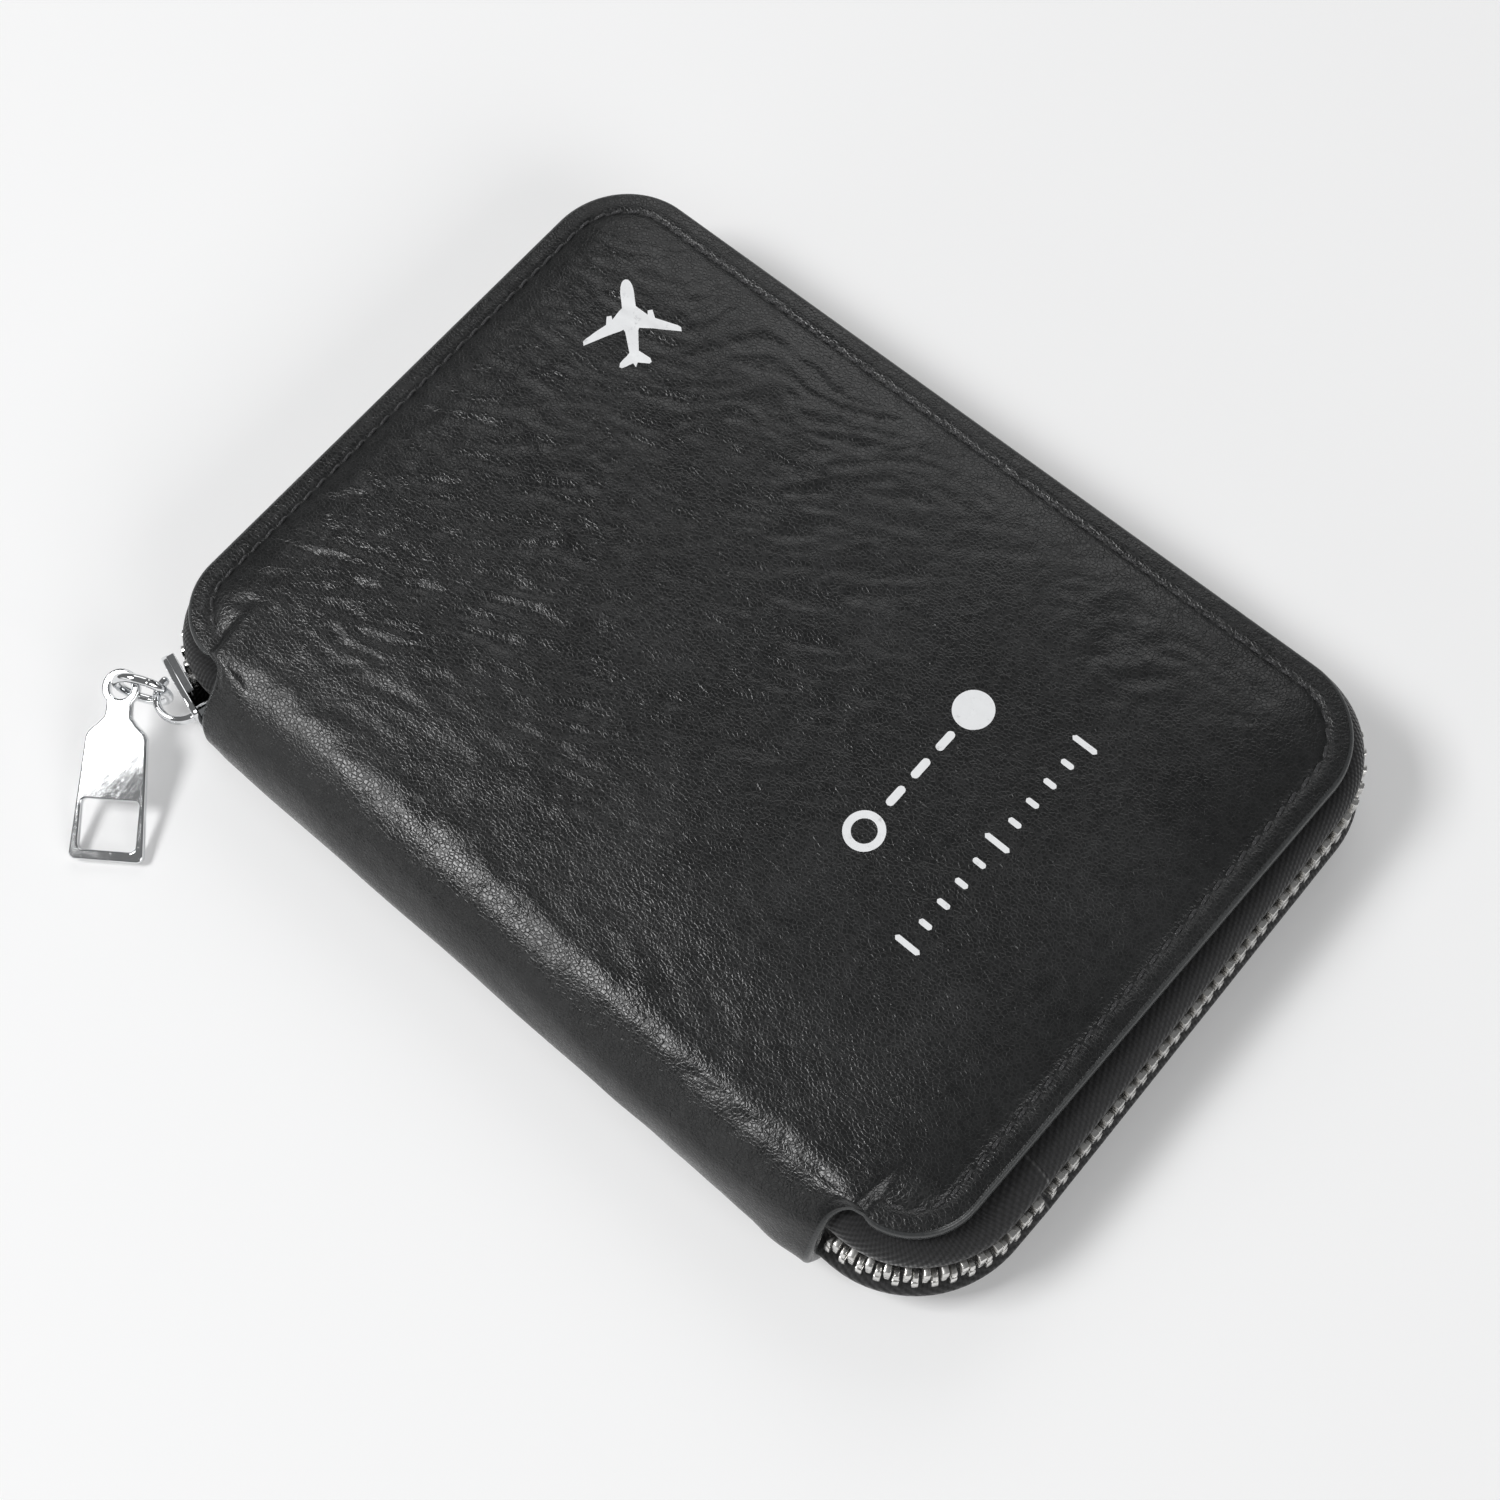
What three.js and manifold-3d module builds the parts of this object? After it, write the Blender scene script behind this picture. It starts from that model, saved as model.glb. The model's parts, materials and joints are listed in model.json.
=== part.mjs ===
// Travel document organizer: a zip-around passport wallet, closed and lying on its back cover.
// Millimetres, +Z up. X runs along the spine, and +Y from the spine to the opening side.
// The origin is the centre of the back cover's flat underside.

import * as THREE from "three";
import { mergeVertices } from "three/addons/utils/BufferGeometryUtils.js";
import Module from "manifold-3d";

const wasm = await Module();
wasm.setup();

// ---------------------------------------------------------------- driving dimensions

const LENGTH = 150; // cover, along the spine
const WIDTH = 102; // cover, from the spine side to the opening side
const HEIGHT = 21; // closed, over both covers
const LEAN = 3.5; // how far the closed front cover lies towards +Y of the back cover
const FAR_RADIUS = 13.5; // cover corners on the opening side
const NEAR_RADIUS = 12.5; // cover corners beside the spine
const SPINE_HALF = 60.7; // half the spine's length
const GAP = 0.3; // left between neighbouring pieces

const LEATHER = 1.0;
const EDGE = 3.2; // depth of the turned leather edge
const FOAM = 0.8;
const BOARD = 1.0;
const TAPE = 0.7;
const LINING = 0.8;

const TOOTH_PITCH = 2.54; // size 5 metal zip
const TOOTH_WIDTH = 1.0;
const TOOTH_REACH = 3.0; // how far a tooth stands from the row's middle onto its tape
const TOOTH_BITE = 0.6; // how far it reaches past the middle
const FAR_BULGE = 2.75; // tooth line beyond the covers' edge on the opening side
const TURN_RIGHT = 16.8; // radius of the zip's turn into the spine: the closed zip bulges more on the right
const TURN_LEFT = 13.9;
const FAR_SHARE = 0.45; // share of a short side's bulge that is left at its far corner
const TURN_X = 62.5; // both turns' centres, from the middle of the spine
const LINE_Y = -51.2; // the tooth line where it enters the spine
const TAPE_END_Y = -27; // where the sewn tape passes into its free end
const TUCK_X = 55.5; // the tape ends are tucked this far into the spine

const CARD_REACH = 58; // a card pocket, along the spine
const CARD_STEP = 13; // each card pocket's step past the one behind it

// ---------------------------------------------------------------- worked out from them

const HALF_X = LENGTH / 2;
const HALF_Y = WIDTH / 2;
const MID = HEIGHT / 2;
const FOLD_Y = -HALF_Y + 4.5; // where a cover ends and the round spine begins

// Layers of a cover, measured inwards from its outer face.
const foamAt = LEATHER + GAP;
const boardAt = foamAt + FOAM + GAP;
const tapeAt = boardAt + BOARD + GAP;
const liningAt = tapeAt + TAPE + GAP;
const pocketAt = liningAt + LINING + GAP;

const colours = {
  leather: { color: 0x1b1c1d, roughness: 0.42, metalness: 0 },
  foam: { color: 0x55565a, roughness: 0.95, metalness: 0 },
  board: { color: 0x8a7a62, roughness: 0.9, metalness: 0 },
  lining: { color: 0x26272a, roughness: 0.8, metalness: 0 },
  tape: { color: 0x141415, roughness: 0.9, metalness: 0 },
  elastic: { color: 0x1a1a1c, roughness: 0.85, metalness: 0 },
  metal: { color: 0xd8d8da, roughness: 0.12, metalness: 1 },
};

const organizer = new THREE.Group();

function addTo(group, name, geometry, colour) {
  const mesh = new THREE.Mesh(geometry, new THREE.MeshStandardMaterial(colours[colour]));
  mesh.name = name;
  group.add(mesh);
  return mesh;
}

const add = (name, geometry, colour) => addTo(organizer, name, geometry, colour);

// ---------------------------------------------------------------- geometry helpers

function solidOf(geometry) {
  const bare = geometry.index ? geometry.toNonIndexed() : geometry.clone();
  bare.deleteAttribute("normal");
  bare.deleteAttribute("uv");
  const merged = mergeVertices(bare, 1e-3);
  return new wasm.Manifold(
    new wasm.Mesh({
      numProp: 3,
      vertProperties: merged.attributes.position.array,
      triVerts: new Uint32Array(merged.index.array),
    }),
  );
}

function geometryOf(solid) {
  const mesh = solid.getMesh();
  const geometry = new THREE.BufferGeometry();
  geometry.setAttribute("position", new THREE.BufferAttribute(mesh.vertProperties, 3));
  geometry.setIndex(new THREE.BufferAttribute(mesh.triVerts, 1));
  return geometry;
}

function boxSolid(x0, x1, y0, y1, z0, z1) {
  const box = new THREE.BoxGeometry(x1 - x0, y1 - y0, z1 - z0);
  return solidOf(box.translate((x0 + x1) / 2, (y0 + y1) / 2, (z0 + z1) / 2));
}

// A rectangle with round corners: rNear on the spine side and rFar on the opening side.
function roundedRectangle(x0, x1, y0, y1, rNear, rFar) {
  const shape = new THREE.Shape();
  shape.absarc(x1 - rNear, y0 + rNear, rNear, -Math.PI / 2, 0);
  shape.absarc(x1 - rFar, y1 - rFar, rFar, 0, Math.PI / 2);
  shape.absarc(x0 + rFar, y1 - rFar, rFar, Math.PI / 2, Math.PI);
  shape.absarc(x0 + rNear, y0 + rNear, rNear, Math.PI, 1.5 * Math.PI);
  return shape;
}

function coverOutline(inset, nearEdge = -HALF_Y + inset, nearRadius = NEAR_RADIUS - inset) {
  const x = HALF_X - inset;
  return roundedRectangle(-x, x, nearEdge, HALF_Y - inset, nearRadius, FAR_RADIUS - inset);
}

function plate(shape, z0, thickness, curveSegments = 8) {
  return new THREE.ExtrudeGeometry(shape, {
    depth: thickness,
    bevelEnabled: false,
    curveSegments,
  }).translate(0, 0, z0);
}

// The closed wallet leans: what lies between the covers shifts with its height.
function lean(geometry) {
  const shear = new THREE.Matrix4().set(1, 0, 0, 0, 0, 1, LEAN / HEIGHT, 0, 0, 0, 1, 0, 0, 0, 0, 1);
  return geometry.applyMatrix4(shear);
}

// Skins a row of closed sections, each a list of Vector3 in the same order, and caps both ends.
function skin(sections, sectionShape) {
  const count = sections[0].length;
  const position = sections.flat().flatMap((p) => [p.x, p.y, p.z]);
  const index = [];
  for (let i = 0; i + 1 < sections.length; i++)
    for (let j = 0; j < count; j++) {
      const a = i * count + j;
      const b = i * count + ((j + 1) % count);
      index.push(a, b, b + count, a, b + count, a + count);
    }
  const last = (sections.length - 1) * count;
  for (const [a, b, c] of THREE.ShapeUtils.triangulateShape(sectionShape, [])) {
    index.push(a, c, b);
    index.push(last + a, last + b, last + c);
  }
  const geometry = new THREE.BufferGeometry();
  geometry.setAttribute("position", new THREE.Float32BufferAttribute(position, 3));
  geometry.setIndex(index);
  return geometry;
}

// ---------------------------------------------------------------- covers

// A layer of the back cover lies at depth..depth+thickness above its outer face.
// The front cover's layers are the same ones turned over, LEAN further from the spine.
function asFront(geometry) {
  const turned = new THREE.Matrix4().set(-1, 0, 0, 0, 0, 1, 0, LEAN, 0, 0, -1, HEIGHT, 0, 0, 0, 1);
  return geometry.applyMatrix4(turned);
}

// The leather is a tray: a sheet with its edge turned up on the three open sides and the spine corners.
function leatherPanel() {
  const sheet = solidOf(plate(coverOutline(0), 0, EDGE));
  const inside = solidOf(plate(coverOutline(LEATHER), LEATHER, EDGE));
  const spineSide = boxSolid(-SPINE_HALF - GAP, SPINE_HALF + GAP, -HALF_Y - 1, FOLD_Y, -1, EDGE + 1);
  return geometryOf(sheet.subtract(inside).subtract(spineSide));
}

const innerEdge = FOLD_Y + 1;
const innerSheet = (inset, at, thickness) => plate(coverOutline(inset, innerEdge, 6), at, thickness);

const boardInset = LEATHER + GAP;
add("back_leather", leatherPanel(), "leather");
add("back_foam", innerSheet(boardInset, foamAt, FOAM), "foam");
add("back_board", innerSheet(boardInset, boardAt, BOARD), "board");
add("back_lining", innerSheet(1.2, liningAt, LINING), "lining");
add("front_leather", asFront(leatherPanel()), "leather");
add("front_foam", asFront(innerSheet(boardInset, foamAt, FOAM)), "foam");
add("front_board", asFront(innerSheet(boardInset, boardAt, BOARD)), "board");
add("front_lining", asFront(innerSheet(1.2, liningAt, LINING)), "lining");

// ---------------------------------------------------------------- pockets

const POCKET_Y0 = FOLD_Y + 6;
const POCKET_Y1 = HALF_Y - 4;
const pocketSheet = (x0, x1, at, thickness) =>
  plate(roundedRectangle(x0, x1, POCKET_Y0, POCKET_Y1, 3, 8), at, thickness);

const ticketThickness = 0.5;
const passportThickness = 0.6;
const passportAt = pocketAt + ticketThickness + GAP;
add("ticket_pocket", pocketSheet(-HALF_X + 5, 52, pocketAt, ticketThickness), "lining");
add("passport_pocket", pocketSheet(-HALF_X + 5, 28, passportAt, passportThickness), "leather");

const billThickness = 0.5;
const cardThickness = 0.4;
add("bill_pocket", asFront(pocketSheet(-HALF_X + 5, 58, pocketAt, billThickness)), "lining");
for (let i = 0; i < 3; i++) {
  const end = HALF_X - 12 - i * CARD_STEP;
  const at = pocketAt + billThickness + GAP + i * (cardThickness + GAP);
  add(`card_pocket_${i + 1}`, asFront(pocketSheet(end - CARD_REACH - 20, end, at, cardThickness)), "leather");
}

// ---------------------------------------------------------------- spine

// The spine folds along its middle as well as at both covers, so it is made in two quarter rings
// round the closed wallet's middle height. inset is measured from the spine's outer face.
function quarterRing(inset, thickness, halfLength, upper) {
  const outer = MID - GAP / 2 - inset;
  const [start, end] = upper ? [Math.PI / 2, Math.PI] : [Math.PI, 1.5 * Math.PI];
  const centre = upper ? MID + GAP / 2 : MID - GAP / 2;
  const shape = new THREE.Shape();
  shape.absarc(0, 0, outer, start, end);
  shape.absarc(0, 0, outer - thickness, end, start, true);
  const extrusion = { depth: 2 * halfLength, bevelEnabled: false, curveSegments: 12 };
  const ring = new THREE.ExtrudeGeometry(shape, extrusion);
  // The shape's plane becomes YZ, and its depth runs along +X.
  const placing = new THREE.Matrix4();
  placing.set(0, 0, 1, -halfLength, 1, 0, 0, FOLD_Y - GAP, 0, 1, 0, centre, 0, 0, 0, 1);
  ring.applyMatrix4(placing);
  return lean(ring);
}

const spineLiningAt = LEATHER + GAP;
for (const level of ["lower", "upper"]) {
  const upper = level === "upper";
  add(`spine_leather_${level}`, quarterRing(0, LEATHER, SPINE_HALF, upper), "leather");
  add(`spine_lining_${level}`, quarterRing(spineLiningAt, LINING, TUCK_X - 1, upper), "lining");
}

// The elastic pen loop stands against the spine's lining.
const LOOP_RADIUS = 5.2;
const LOOP_WALL = 0.8;
const LOOP_LENGTH = 22;
const LOOP_X = 18;
const loopShape = new THREE.Shape();
loopShape.absarc(0, 0, LOOP_RADIUS, 0, 2 * Math.PI);
const loopHole = new THREE.Path();
loopHole.absarc(0, 0, LOOP_RADIUS - LOOP_WALL, 0, 2 * Math.PI, true);
loopShape.holes.push(loopHole);
const loopReach = MID - GAP / 2 - spineLiningAt - LINING - GAP - LOOP_RADIUS;
const loopY = FOLD_Y - GAP - loopReach + LEAN / 2;
const loopExtrusion = { depth: LOOP_LENGTH, bevelEnabled: false, curveSegments: 16 };
const loop = new THREE.ExtrudeGeometry(loopShape, loopExtrusion);
const loopPlace = new THREE.Matrix4().set(0, 0, 1, LOOP_X, 1, 0, 0, loopY, 0, 1, 0, MID, 0, 0, 0, 1);
add("pen_loop", loop.applyMatrix4(loopPlace), "elastic");

// ---------------------------------------------------------------- zip track

// A station of the track: a point of the covers' edge, the point of the tooth line that belongs to it,
// and the outward direction.
const station = (edgeX, edgeY, lineX, lineY, angle) => ({
  edge: new THREE.Vector2(edgeX, edgeY),
  line: new THREE.Vector2(lineX, lineY),
  out: new THREE.Vector2(Math.cos(angle), Math.sin(angle)),
});

const LINE_SHIFT = LEAN / 2; // the tooth line is given on the closed zip, and lean() adds this back

// A free end, as it is on the right: tucked in the spine, round the turn, and up the short side.
function endStations(turnRadius) {
  const lineBottom = LINE_Y - LINE_SHIFT;
  const stations = [];
  for (const x of [TUCK_X, TURN_X - 1]) stations.push(station(x, -HALF_Y, x, lineBottom, -Math.PI / 2));
  const steps = 12;
  for (let i = 0; i <= steps; i++) {
    const angle = -Math.PI / 2 + (i / steps) * (Math.PI / 2);
    const [c, s] = [Math.cos(angle), Math.sin(angle)];
    stations.push(
      station(
        HALF_X - NEAR_RADIUS + NEAR_RADIUS * c,
        -HALF_Y + NEAR_RADIUS + NEAR_RADIUS * s,
        TURN_X + turnRadius * c,
        lineBottom + turnRadius * (1 + s),
        angle,
      ),
    );
  }
  const lineX = TURN_X + turnRadius;
  stations.push(station(HALF_X, TAPE_END_Y - LINE_SHIFT - GAP, lineX, TAPE_END_Y - LINE_SHIFT - GAP, 0));
  return stations;
}

const mirrored = (stations) =>
  stations.map((s) => station(-s.edge.x, s.edge.y, -s.line.x, s.line.y, Math.PI - s.out.angle())).reverse();

// Half of the sewn run, as it is on the right: up the short side and round the far corner.
function sewnStations(turnRadius) {
  const lineX = TURN_X + turnRadius;
  const right = [station(HALF_X, TAPE_END_Y - LINE_SHIFT, lineX, TAPE_END_Y - LINE_SHIFT, 0)];
  const steps = 12;
  const [cx, cy] = [HALF_X - FAR_RADIUS, HALF_Y - FAR_RADIUS];
  const lineRadius = FAR_RADIUS + FAR_BULGE;
  const farX = TURN_X + FAR_RADIUS + (turnRadius - FAR_RADIUS) * FAR_SHARE;
  const spread = farX - cx - lineRadius;
  for (let i = 0; i <= steps; i++) {
    const angle = (i / steps) * (Math.PI / 2);
    const [c, s] = [Math.cos(angle), Math.sin(angle)];
    right.push(
      station(
        cx + FAR_RADIUS * c,
        cy + FAR_RADIUS * s,
        cx + (lineRadius + spread) * c,
        cy + lineRadius * s,
        angle,
      ),
    );
  }
  return right;
}

// One side of the zip's tape, as points of its section from the cover to the teeth.
// share runs from the covers' edge (0) to the tooth line (1); out is added along the outward direction.
function tapeSection(flange, edgeGap) {
  const outerTop = tapeAt;
  const innerTop = tapeAt + TAPE;
  const back = -1.1; // the tape passes behind the teeth
  const deep = MID - edgeGap;
  const outer = [
    { share: 0, out: flange, z: outerTop },
    { share: 0, out: 0, z: outerTop },
    { share: 0.55, out: 0, z: outerTop + 1.6 },
    { share: 1, out: back, z: MID - TOOTH_REACH },
    { share: 1, out: back, z: deep },
  ];
  const inner = [
    { share: 1, out: back - TAPE, z: deep },
    { share: 1, out: back - TAPE, z: MID - TOOTH_REACH },
    { share: 0.55, out: -TAPE, z: innerTop + 1.6 },
    { share: 0, out: -TAPE, z: innerTop },
    { share: 0, out: flange, z: innerTop },
  ];
  return [...outer, ...inner];
}

function tape(stations, upper, flange, gapAt) {
  const sections = stations.map((s) =>
    tapeSection(flange, gapAt(s)).map((p) => {
      const at = s.edge.clone().lerp(s.line, p.share).addScaledVector(s.out, p.out);
      return new THREE.Vector3(at.x, at.y, upper ? HEIGHT - p.z : p.z);
    }),
  );
  const flat = tapeSection(flange, 1).map((p) => new THREE.Vector2(p.share * FAR_BULGE + p.out, p.z));
  let geometry = skin(sections, flat);
  if (solidOf(geometry).volume() < 0) {
    const index = geometry.getIndex().array;
    for (let i = 0; i < index.length; i += 3) [index[i + 1], index[i + 2]] = [index[i + 2], index[i + 1]];
  }
  return lean(geometry);
}

// ---------------------------------------------------------------- teeth

// The tooth line as one curve through the stations.
function lineCurve(stations) {
  const path = new THREE.CurvePath();
  for (let i = 0; i + 1 < stations.length; i++)
    path.add(new THREE.LineCurve(stations[i].line, stations[i + 1].line));
  return path;
}

const TOOTH_OUT = 1.2;
const TOOTH_IN = -0.8;
const CORD = 0.9;

// A row of teeth standing on the tape's corded edge, bent along the curve from one distance to another.
// Upper and lower teeth alternate by half a pitch.
function teeth(curve, from, to, upper) {
  const side = upper ? 1 : -1;
  const root = MID + side * TOOTH_REACH;
  const cord = root - side * CORD;
  const tip = MID - side * TOOTH_BITE;
  const first = from + (upper ? TOOTH_PITCH / 2 : 0);
  const count = Math.floor((to - first) / TOOTH_PITCH);
  const length = curve.getLength();
  const position = [];
  const point = (along, height) => {
    const share = Math.min(1, along / length);
    const at = curve.getPointAt(share);
    const way = curve.getTangentAt(share);
    for (const out of [TOOTH_OUT, TOOTH_IN]) position.push(at.x + way.y * out, at.y - way.x * out, height);
  };
  for (let i = 0; i <= count; i++) {
    const s = first + i * TOOTH_PITCH;
    point(s, root);
    point(s, cord);
    if (i === count) continue;
    point(s, tip);
    point(s + TOOTH_WIDTH, tip);
    point(s + TOOTH_WIDTH, cord);
  }
  // Each corner holds its outer vertex and then its inner one.
  const index = [];
  const face = (a, b, c) => index.push(...(upper ? [a, c, b] : [a, b, c]));
  const bothFaces = (a, b, c) => {
    face(2 * a, 2 * b, 2 * c);
    face(2 * a + 1, 2 * c + 1, 2 * b + 1);
  };
  const wall = (a, b) => {
    face(2 * a, 2 * a + 1, 2 * b + 1);
    face(2 * a, 2 * b + 1, 2 * b);
  };
  for (let i = 0; i < count; i++) {
    const [rootHere, cordHere, tipStart, tipEnd, cordAfter] = [0, 1, 2, 3, 4].map((k) => 5 * i + k);
    const [rootNext, cordNext] = [5 * i + 5, 5 * i + 6];
    bothFaces(rootHere, rootNext, cordNext);
    bothFaces(rootHere, cordNext, cordAfter);
    bothFaces(rootHere, cordAfter, cordHere);
    bothFaces(cordHere, cordAfter, tipEnd);
    bothFaces(cordHere, tipEnd, tipStart);
    wall(rootHere, rootNext);
    wall(cordNext, cordAfter);
    wall(cordAfter, tipEnd);
    wall(tipEnd, tipStart);
    wall(tipStart, cordHere);
  }
  wall(5 * count, 5 * count + 1);
  wall(1, 0);
  const row = new THREE.BufferGeometry();
  row.setAttribute("position", new THREE.Float32BufferAttribute(position, 3));
  row.setIndex(index);
  return lean(row);
}

const main = [...sewnStations(TURN_RIGHT), ...mirrored(sewnStations(TURN_LEFT))];
const rightEnd = endStations(TURN_RIGHT);
const leftEnd = mirrored(endStations(TURN_LEFT));
const closed = () => 0.2;

// Ahead of the slider's post the two tapes stand apart.
const SLIDER_TURN = 17; // degrees round the turn from the spine
const POST_HALF = 1.2;
const postAngle = THREE.MathUtils.degToRad(SLIDER_TURN);
const spreadEnd = -TURN_X - TURN_LEFT * Math.sin(postAngle) - 3;
const spread = (s) => (s.line.x > spreadEnd ? POST_HALF + 0.6 : 0.2);

add("lower_tape", tape(main, false, -6, closed), "tape");
add("upper_tape", tape(main, true, -6, closed), "tape");
for (const [side, stations, gap] of [["right", rightEnd, closed], ["left", leftEnd, spread]])
  for (const level of ["lower", "upper"])
    add(`${side}_${level}_tape_end`, tape(stations, level === "upper", -TAPE, gap), "tape");

const mainLine = lineCurve(main);
for (const level of ["lower", "upper"])
  add(`${level}_teeth`, teeth(mainLine, GAP, mainLine.getLength() - GAP, level === "upper"), "metal");

const rightLine = lineCurve(rightEnd);
const leftLine = lineCurve(leftEnd);
const SLIDER_HALF = 6.2;
const stopAt = 2.2; // the stops' distance from the tapes' ends
// On the left the teeth stop where the slider sits, which is closed against the top stops.
const sliderAt = leftLine.getLength() - (TURN_X - TUCK_X) - TURN_LEFT * postAngle;
for (const level of ["lower", "upper"]) {
  const upper = level === "upper";
  const rightEnd = rightLine.getLength() - GAP;
  add(`right_${level}_end_teeth`, teeth(rightLine, stopAt + 1.8, rightEnd, upper), "metal");
  add(`left_${level}_end_teeth`, teeth(leftLine, GAP, sliderAt + 1, upper), "metal");
}

// Stops: one bottom stop joins both tapes on the right, and a top stop closes each tape on the left.
function stop(side, low, high) {
  const clip = new THREE.BoxGeometry(2.6, TOOTH_OUT - TOOTH_IN, high - low);
  const y = LINE_Y - LINE_SHIFT - (TOOTH_OUT + TOOTH_IN) / 2;
  return lean(clip.translate(side * (TUCK_X + stopAt), y, (low + high) / 2));
}
add("bottom_stop", stop(1, MID - TOOTH_REACH, MID + TOOTH_REACH), "metal");
add("top_stop_lower", stop(-1, MID - TOOTH_REACH, MID - POST_HALF - 0.4), "metal");
add("top_stop_upper", stop(-1, MID + POST_HALF + 0.4, MID + TOOTH_REACH), "metal");

// ---------------------------------------------------------------- slider, ring and pull

// The slider's own frame: +X towards the meshed teeth, +Y outwards, +Z up.
const slider = new THREE.Group();
const outward = new THREE.Vector2(-Math.sin(postAngle), -Math.cos(postAngle));
slider.position.set(-TURN_X + TURN_LEFT * outward.x, LINE_Y + TURN_LEFT * (1 + outward.y), MID);
slider.rotation.z = Math.PI - postAngle;
organizer.add(slider);

const WING = 1.1; // thickness of a slider wing
const OUTER_WING = TOOTH_OUT + 0.4;
const INNER_WING = -3.85;

// A wing is wide at its shoulders, towards the spine, and narrow at its tail.
function wing(y0, y1) {
  const shape = new THREE.Shape();
  shape.moveTo(-SLIDER_HALF, -3.4);
  shape.quadraticCurveTo(-SLIDER_HALF + 0.6, -4.9, -SLIDER_HALF + 3, -4.9);
  shape.lineTo(SLIDER_HALF - 1.2, -4.0);
  shape.lineTo(SLIDER_HALF, -3.2);
  shape.lineTo(SLIDER_HALF, 3.2);
  shape.lineTo(SLIDER_HALF - 1.2, 4.0);
  shape.lineTo(-SLIDER_HALF + 3, 4.9);
  shape.quadraticCurveTo(-SLIDER_HALF + 0.6, 4.9, -SLIDER_HALF, 3.4);
  const flat = new THREE.ExtrudeGeometry(shape, { depth: y1 - y0, bevelEnabled: false, curveSegments: 4 });
  return solidOf(flat.rotateX(Math.PI / 2).translate(0, y1, 0));
}

const post = boxSolid(-5.2, -3, INNER_WING - 0.5, OUTER_WING + 0.5, -POST_HALF, POST_HALF);
const sliderBody = wing(OUTER_WING, OUTER_WING + WING).add(wing(INNER_WING - WING, INNER_WING)).add(post);
addTo(slider, "slider_body", geometryOf(sliderBody), "metal");

// The bridge is an open hoop over the outer wing: its tail end stands clear, so that the ring goes on.
const BRIDGE_Y = OUTER_WING + WING + GAP;
const BRIDGE_OUTER = 4.6;
const BRIDGE_INNER = 3.3;
const BRIDGE_OPEN = 0.28; // radians
const hoop = new THREE.Shape();
hoop.absarc(0, 0, BRIDGE_OUTER, BRIDGE_OPEN, Math.PI);
hoop.absarc(0, 0, BRIDGE_INNER, Math.PI, BRIDGE_OPEN, true);
const bridge = new THREE.ExtrudeGeometry(hoop, { depth: 2.4, bevelEnabled: false, curveSegments: 14 });
addTo(slider, "slider_bridge", bridge.translate(0, BRIDGE_Y, -1.2), "metal");

// The ring hangs in the bridge, in an upright plane turned towards the tail.
const RING_RADIUS = 4.1;
const RING_WIRE = 0.75;
const RING_TURN = THREE.MathUtils.degToRad(45);
const ringReach = BRIDGE_INNER - RING_WIRE - GAP;
const ringWay = new THREE.Vector3(Math.sin(RING_TURN), Math.cos(RING_TURN), 0);
const ring = new THREE.Group();
ring.position.copy(ringWay).multiplyScalar(ringReach + RING_RADIUS).add(new THREE.Vector3(0, BRIDGE_Y, 0));
ring.rotation.z = Math.PI / 2 - RING_TURN; // its +X now points away from the bridge
slider.add(ring);
const ringHoop = new THREE.TorusGeometry(RING_RADIUS, RING_WIRE, 10, 28).rotateX(Math.PI / 2);
addTo(ring, "pull_ring", ringHoop, "metal");

// The pull hangs on the ring's outer side by its eye and lies down to the table.
const PULL_LENGTH = 26.5; // eye to end
const PULL_THICK = 1.4;
const EYE_RADIUS = 1.7;
const EYE_MARGIN = 1.3;
const END_HALF = 5.9;
const SHOULDER_HALF = 4.8;
const NECK_HALF = 2.1;
const EYE_DROP = THREE.MathUtils.degToRad(19); // where on the ring the eye hangs
const PULL_HEADING = THREE.MathUtils.degToRad(-54.5); // plan direction of the pull
const END_CLEARANCE = 0.9; // height of the pull's middle plane over the table at its end

function pullShape() {
  const eyeOuter = EYE_RADIUS + EYE_MARGIN;
  const shape = new THREE.Shape();
  shape.absarc(0, 0, eyeOuter, 0.75, 2 * Math.PI - 0.75);
  shape.lineTo(4.4, -NECK_HALF);
  shape.lineTo(7, -SHOULDER_HALF);
  shape.lineTo(PULL_LENGTH - 1, -END_HALF);
  shape.quadraticCurveTo(PULL_LENGTH, -END_HALF, PULL_LENGTH, -END_HALF + 1);
  shape.lineTo(PULL_LENGTH, END_HALF - 1);
  shape.quadraticCurveTo(PULL_LENGTH, END_HALF, PULL_LENGTH - 1, END_HALF);
  shape.lineTo(7, SHOULDER_HALF);
  shape.lineTo(4.4, NECK_HALF);
  const eye = new THREE.Path();
  eye.absarc(0, 0, EYE_RADIUS, 0, 2 * Math.PI, true);
  const window = roundedRectangle(PULL_LENGTH - 9.3, PULL_LENGTH - 1.6, -4.6, 4.6, 0.9, 0.9);
  shape.holes.push(eye, window);
  return shape;
}

organizer.updateMatrixWorld(true);
const eyePoint = new THREE.Vector3(Math.cos(EYE_DROP), 0, -Math.sin(EYE_DROP)).multiplyScalar(RING_RADIUS);
const eyeWorld = ring.localToWorld(eyePoint);
const pull = new THREE.Group();
pull.position.copy(eyeWorld);
pull.rotation.set(0, Math.asin((eyeWorld.z - END_CLEARANCE) / PULL_LENGTH), PULL_HEADING, "ZYX");
organizer.add(pull);
const pullExtrusion = { depth: PULL_THICK, bevelEnabled: false, curveSegments: 8 };
const pullPlate = new THREE.ExtrudeGeometry(pullShape(), pullExtrusion);
addTo(pull, "pull_plate", pullPlate.translate(0, 0, -PULL_THICK / 2), "metal");

export default organizer;
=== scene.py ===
import json
import math

import bmesh
import bpy
import numpy as np
from mathutils import Matrix, Vector
from mathutils.bvhtree import BVHTree
from mathutils.geometry import delaunay_2d_cdt


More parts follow.
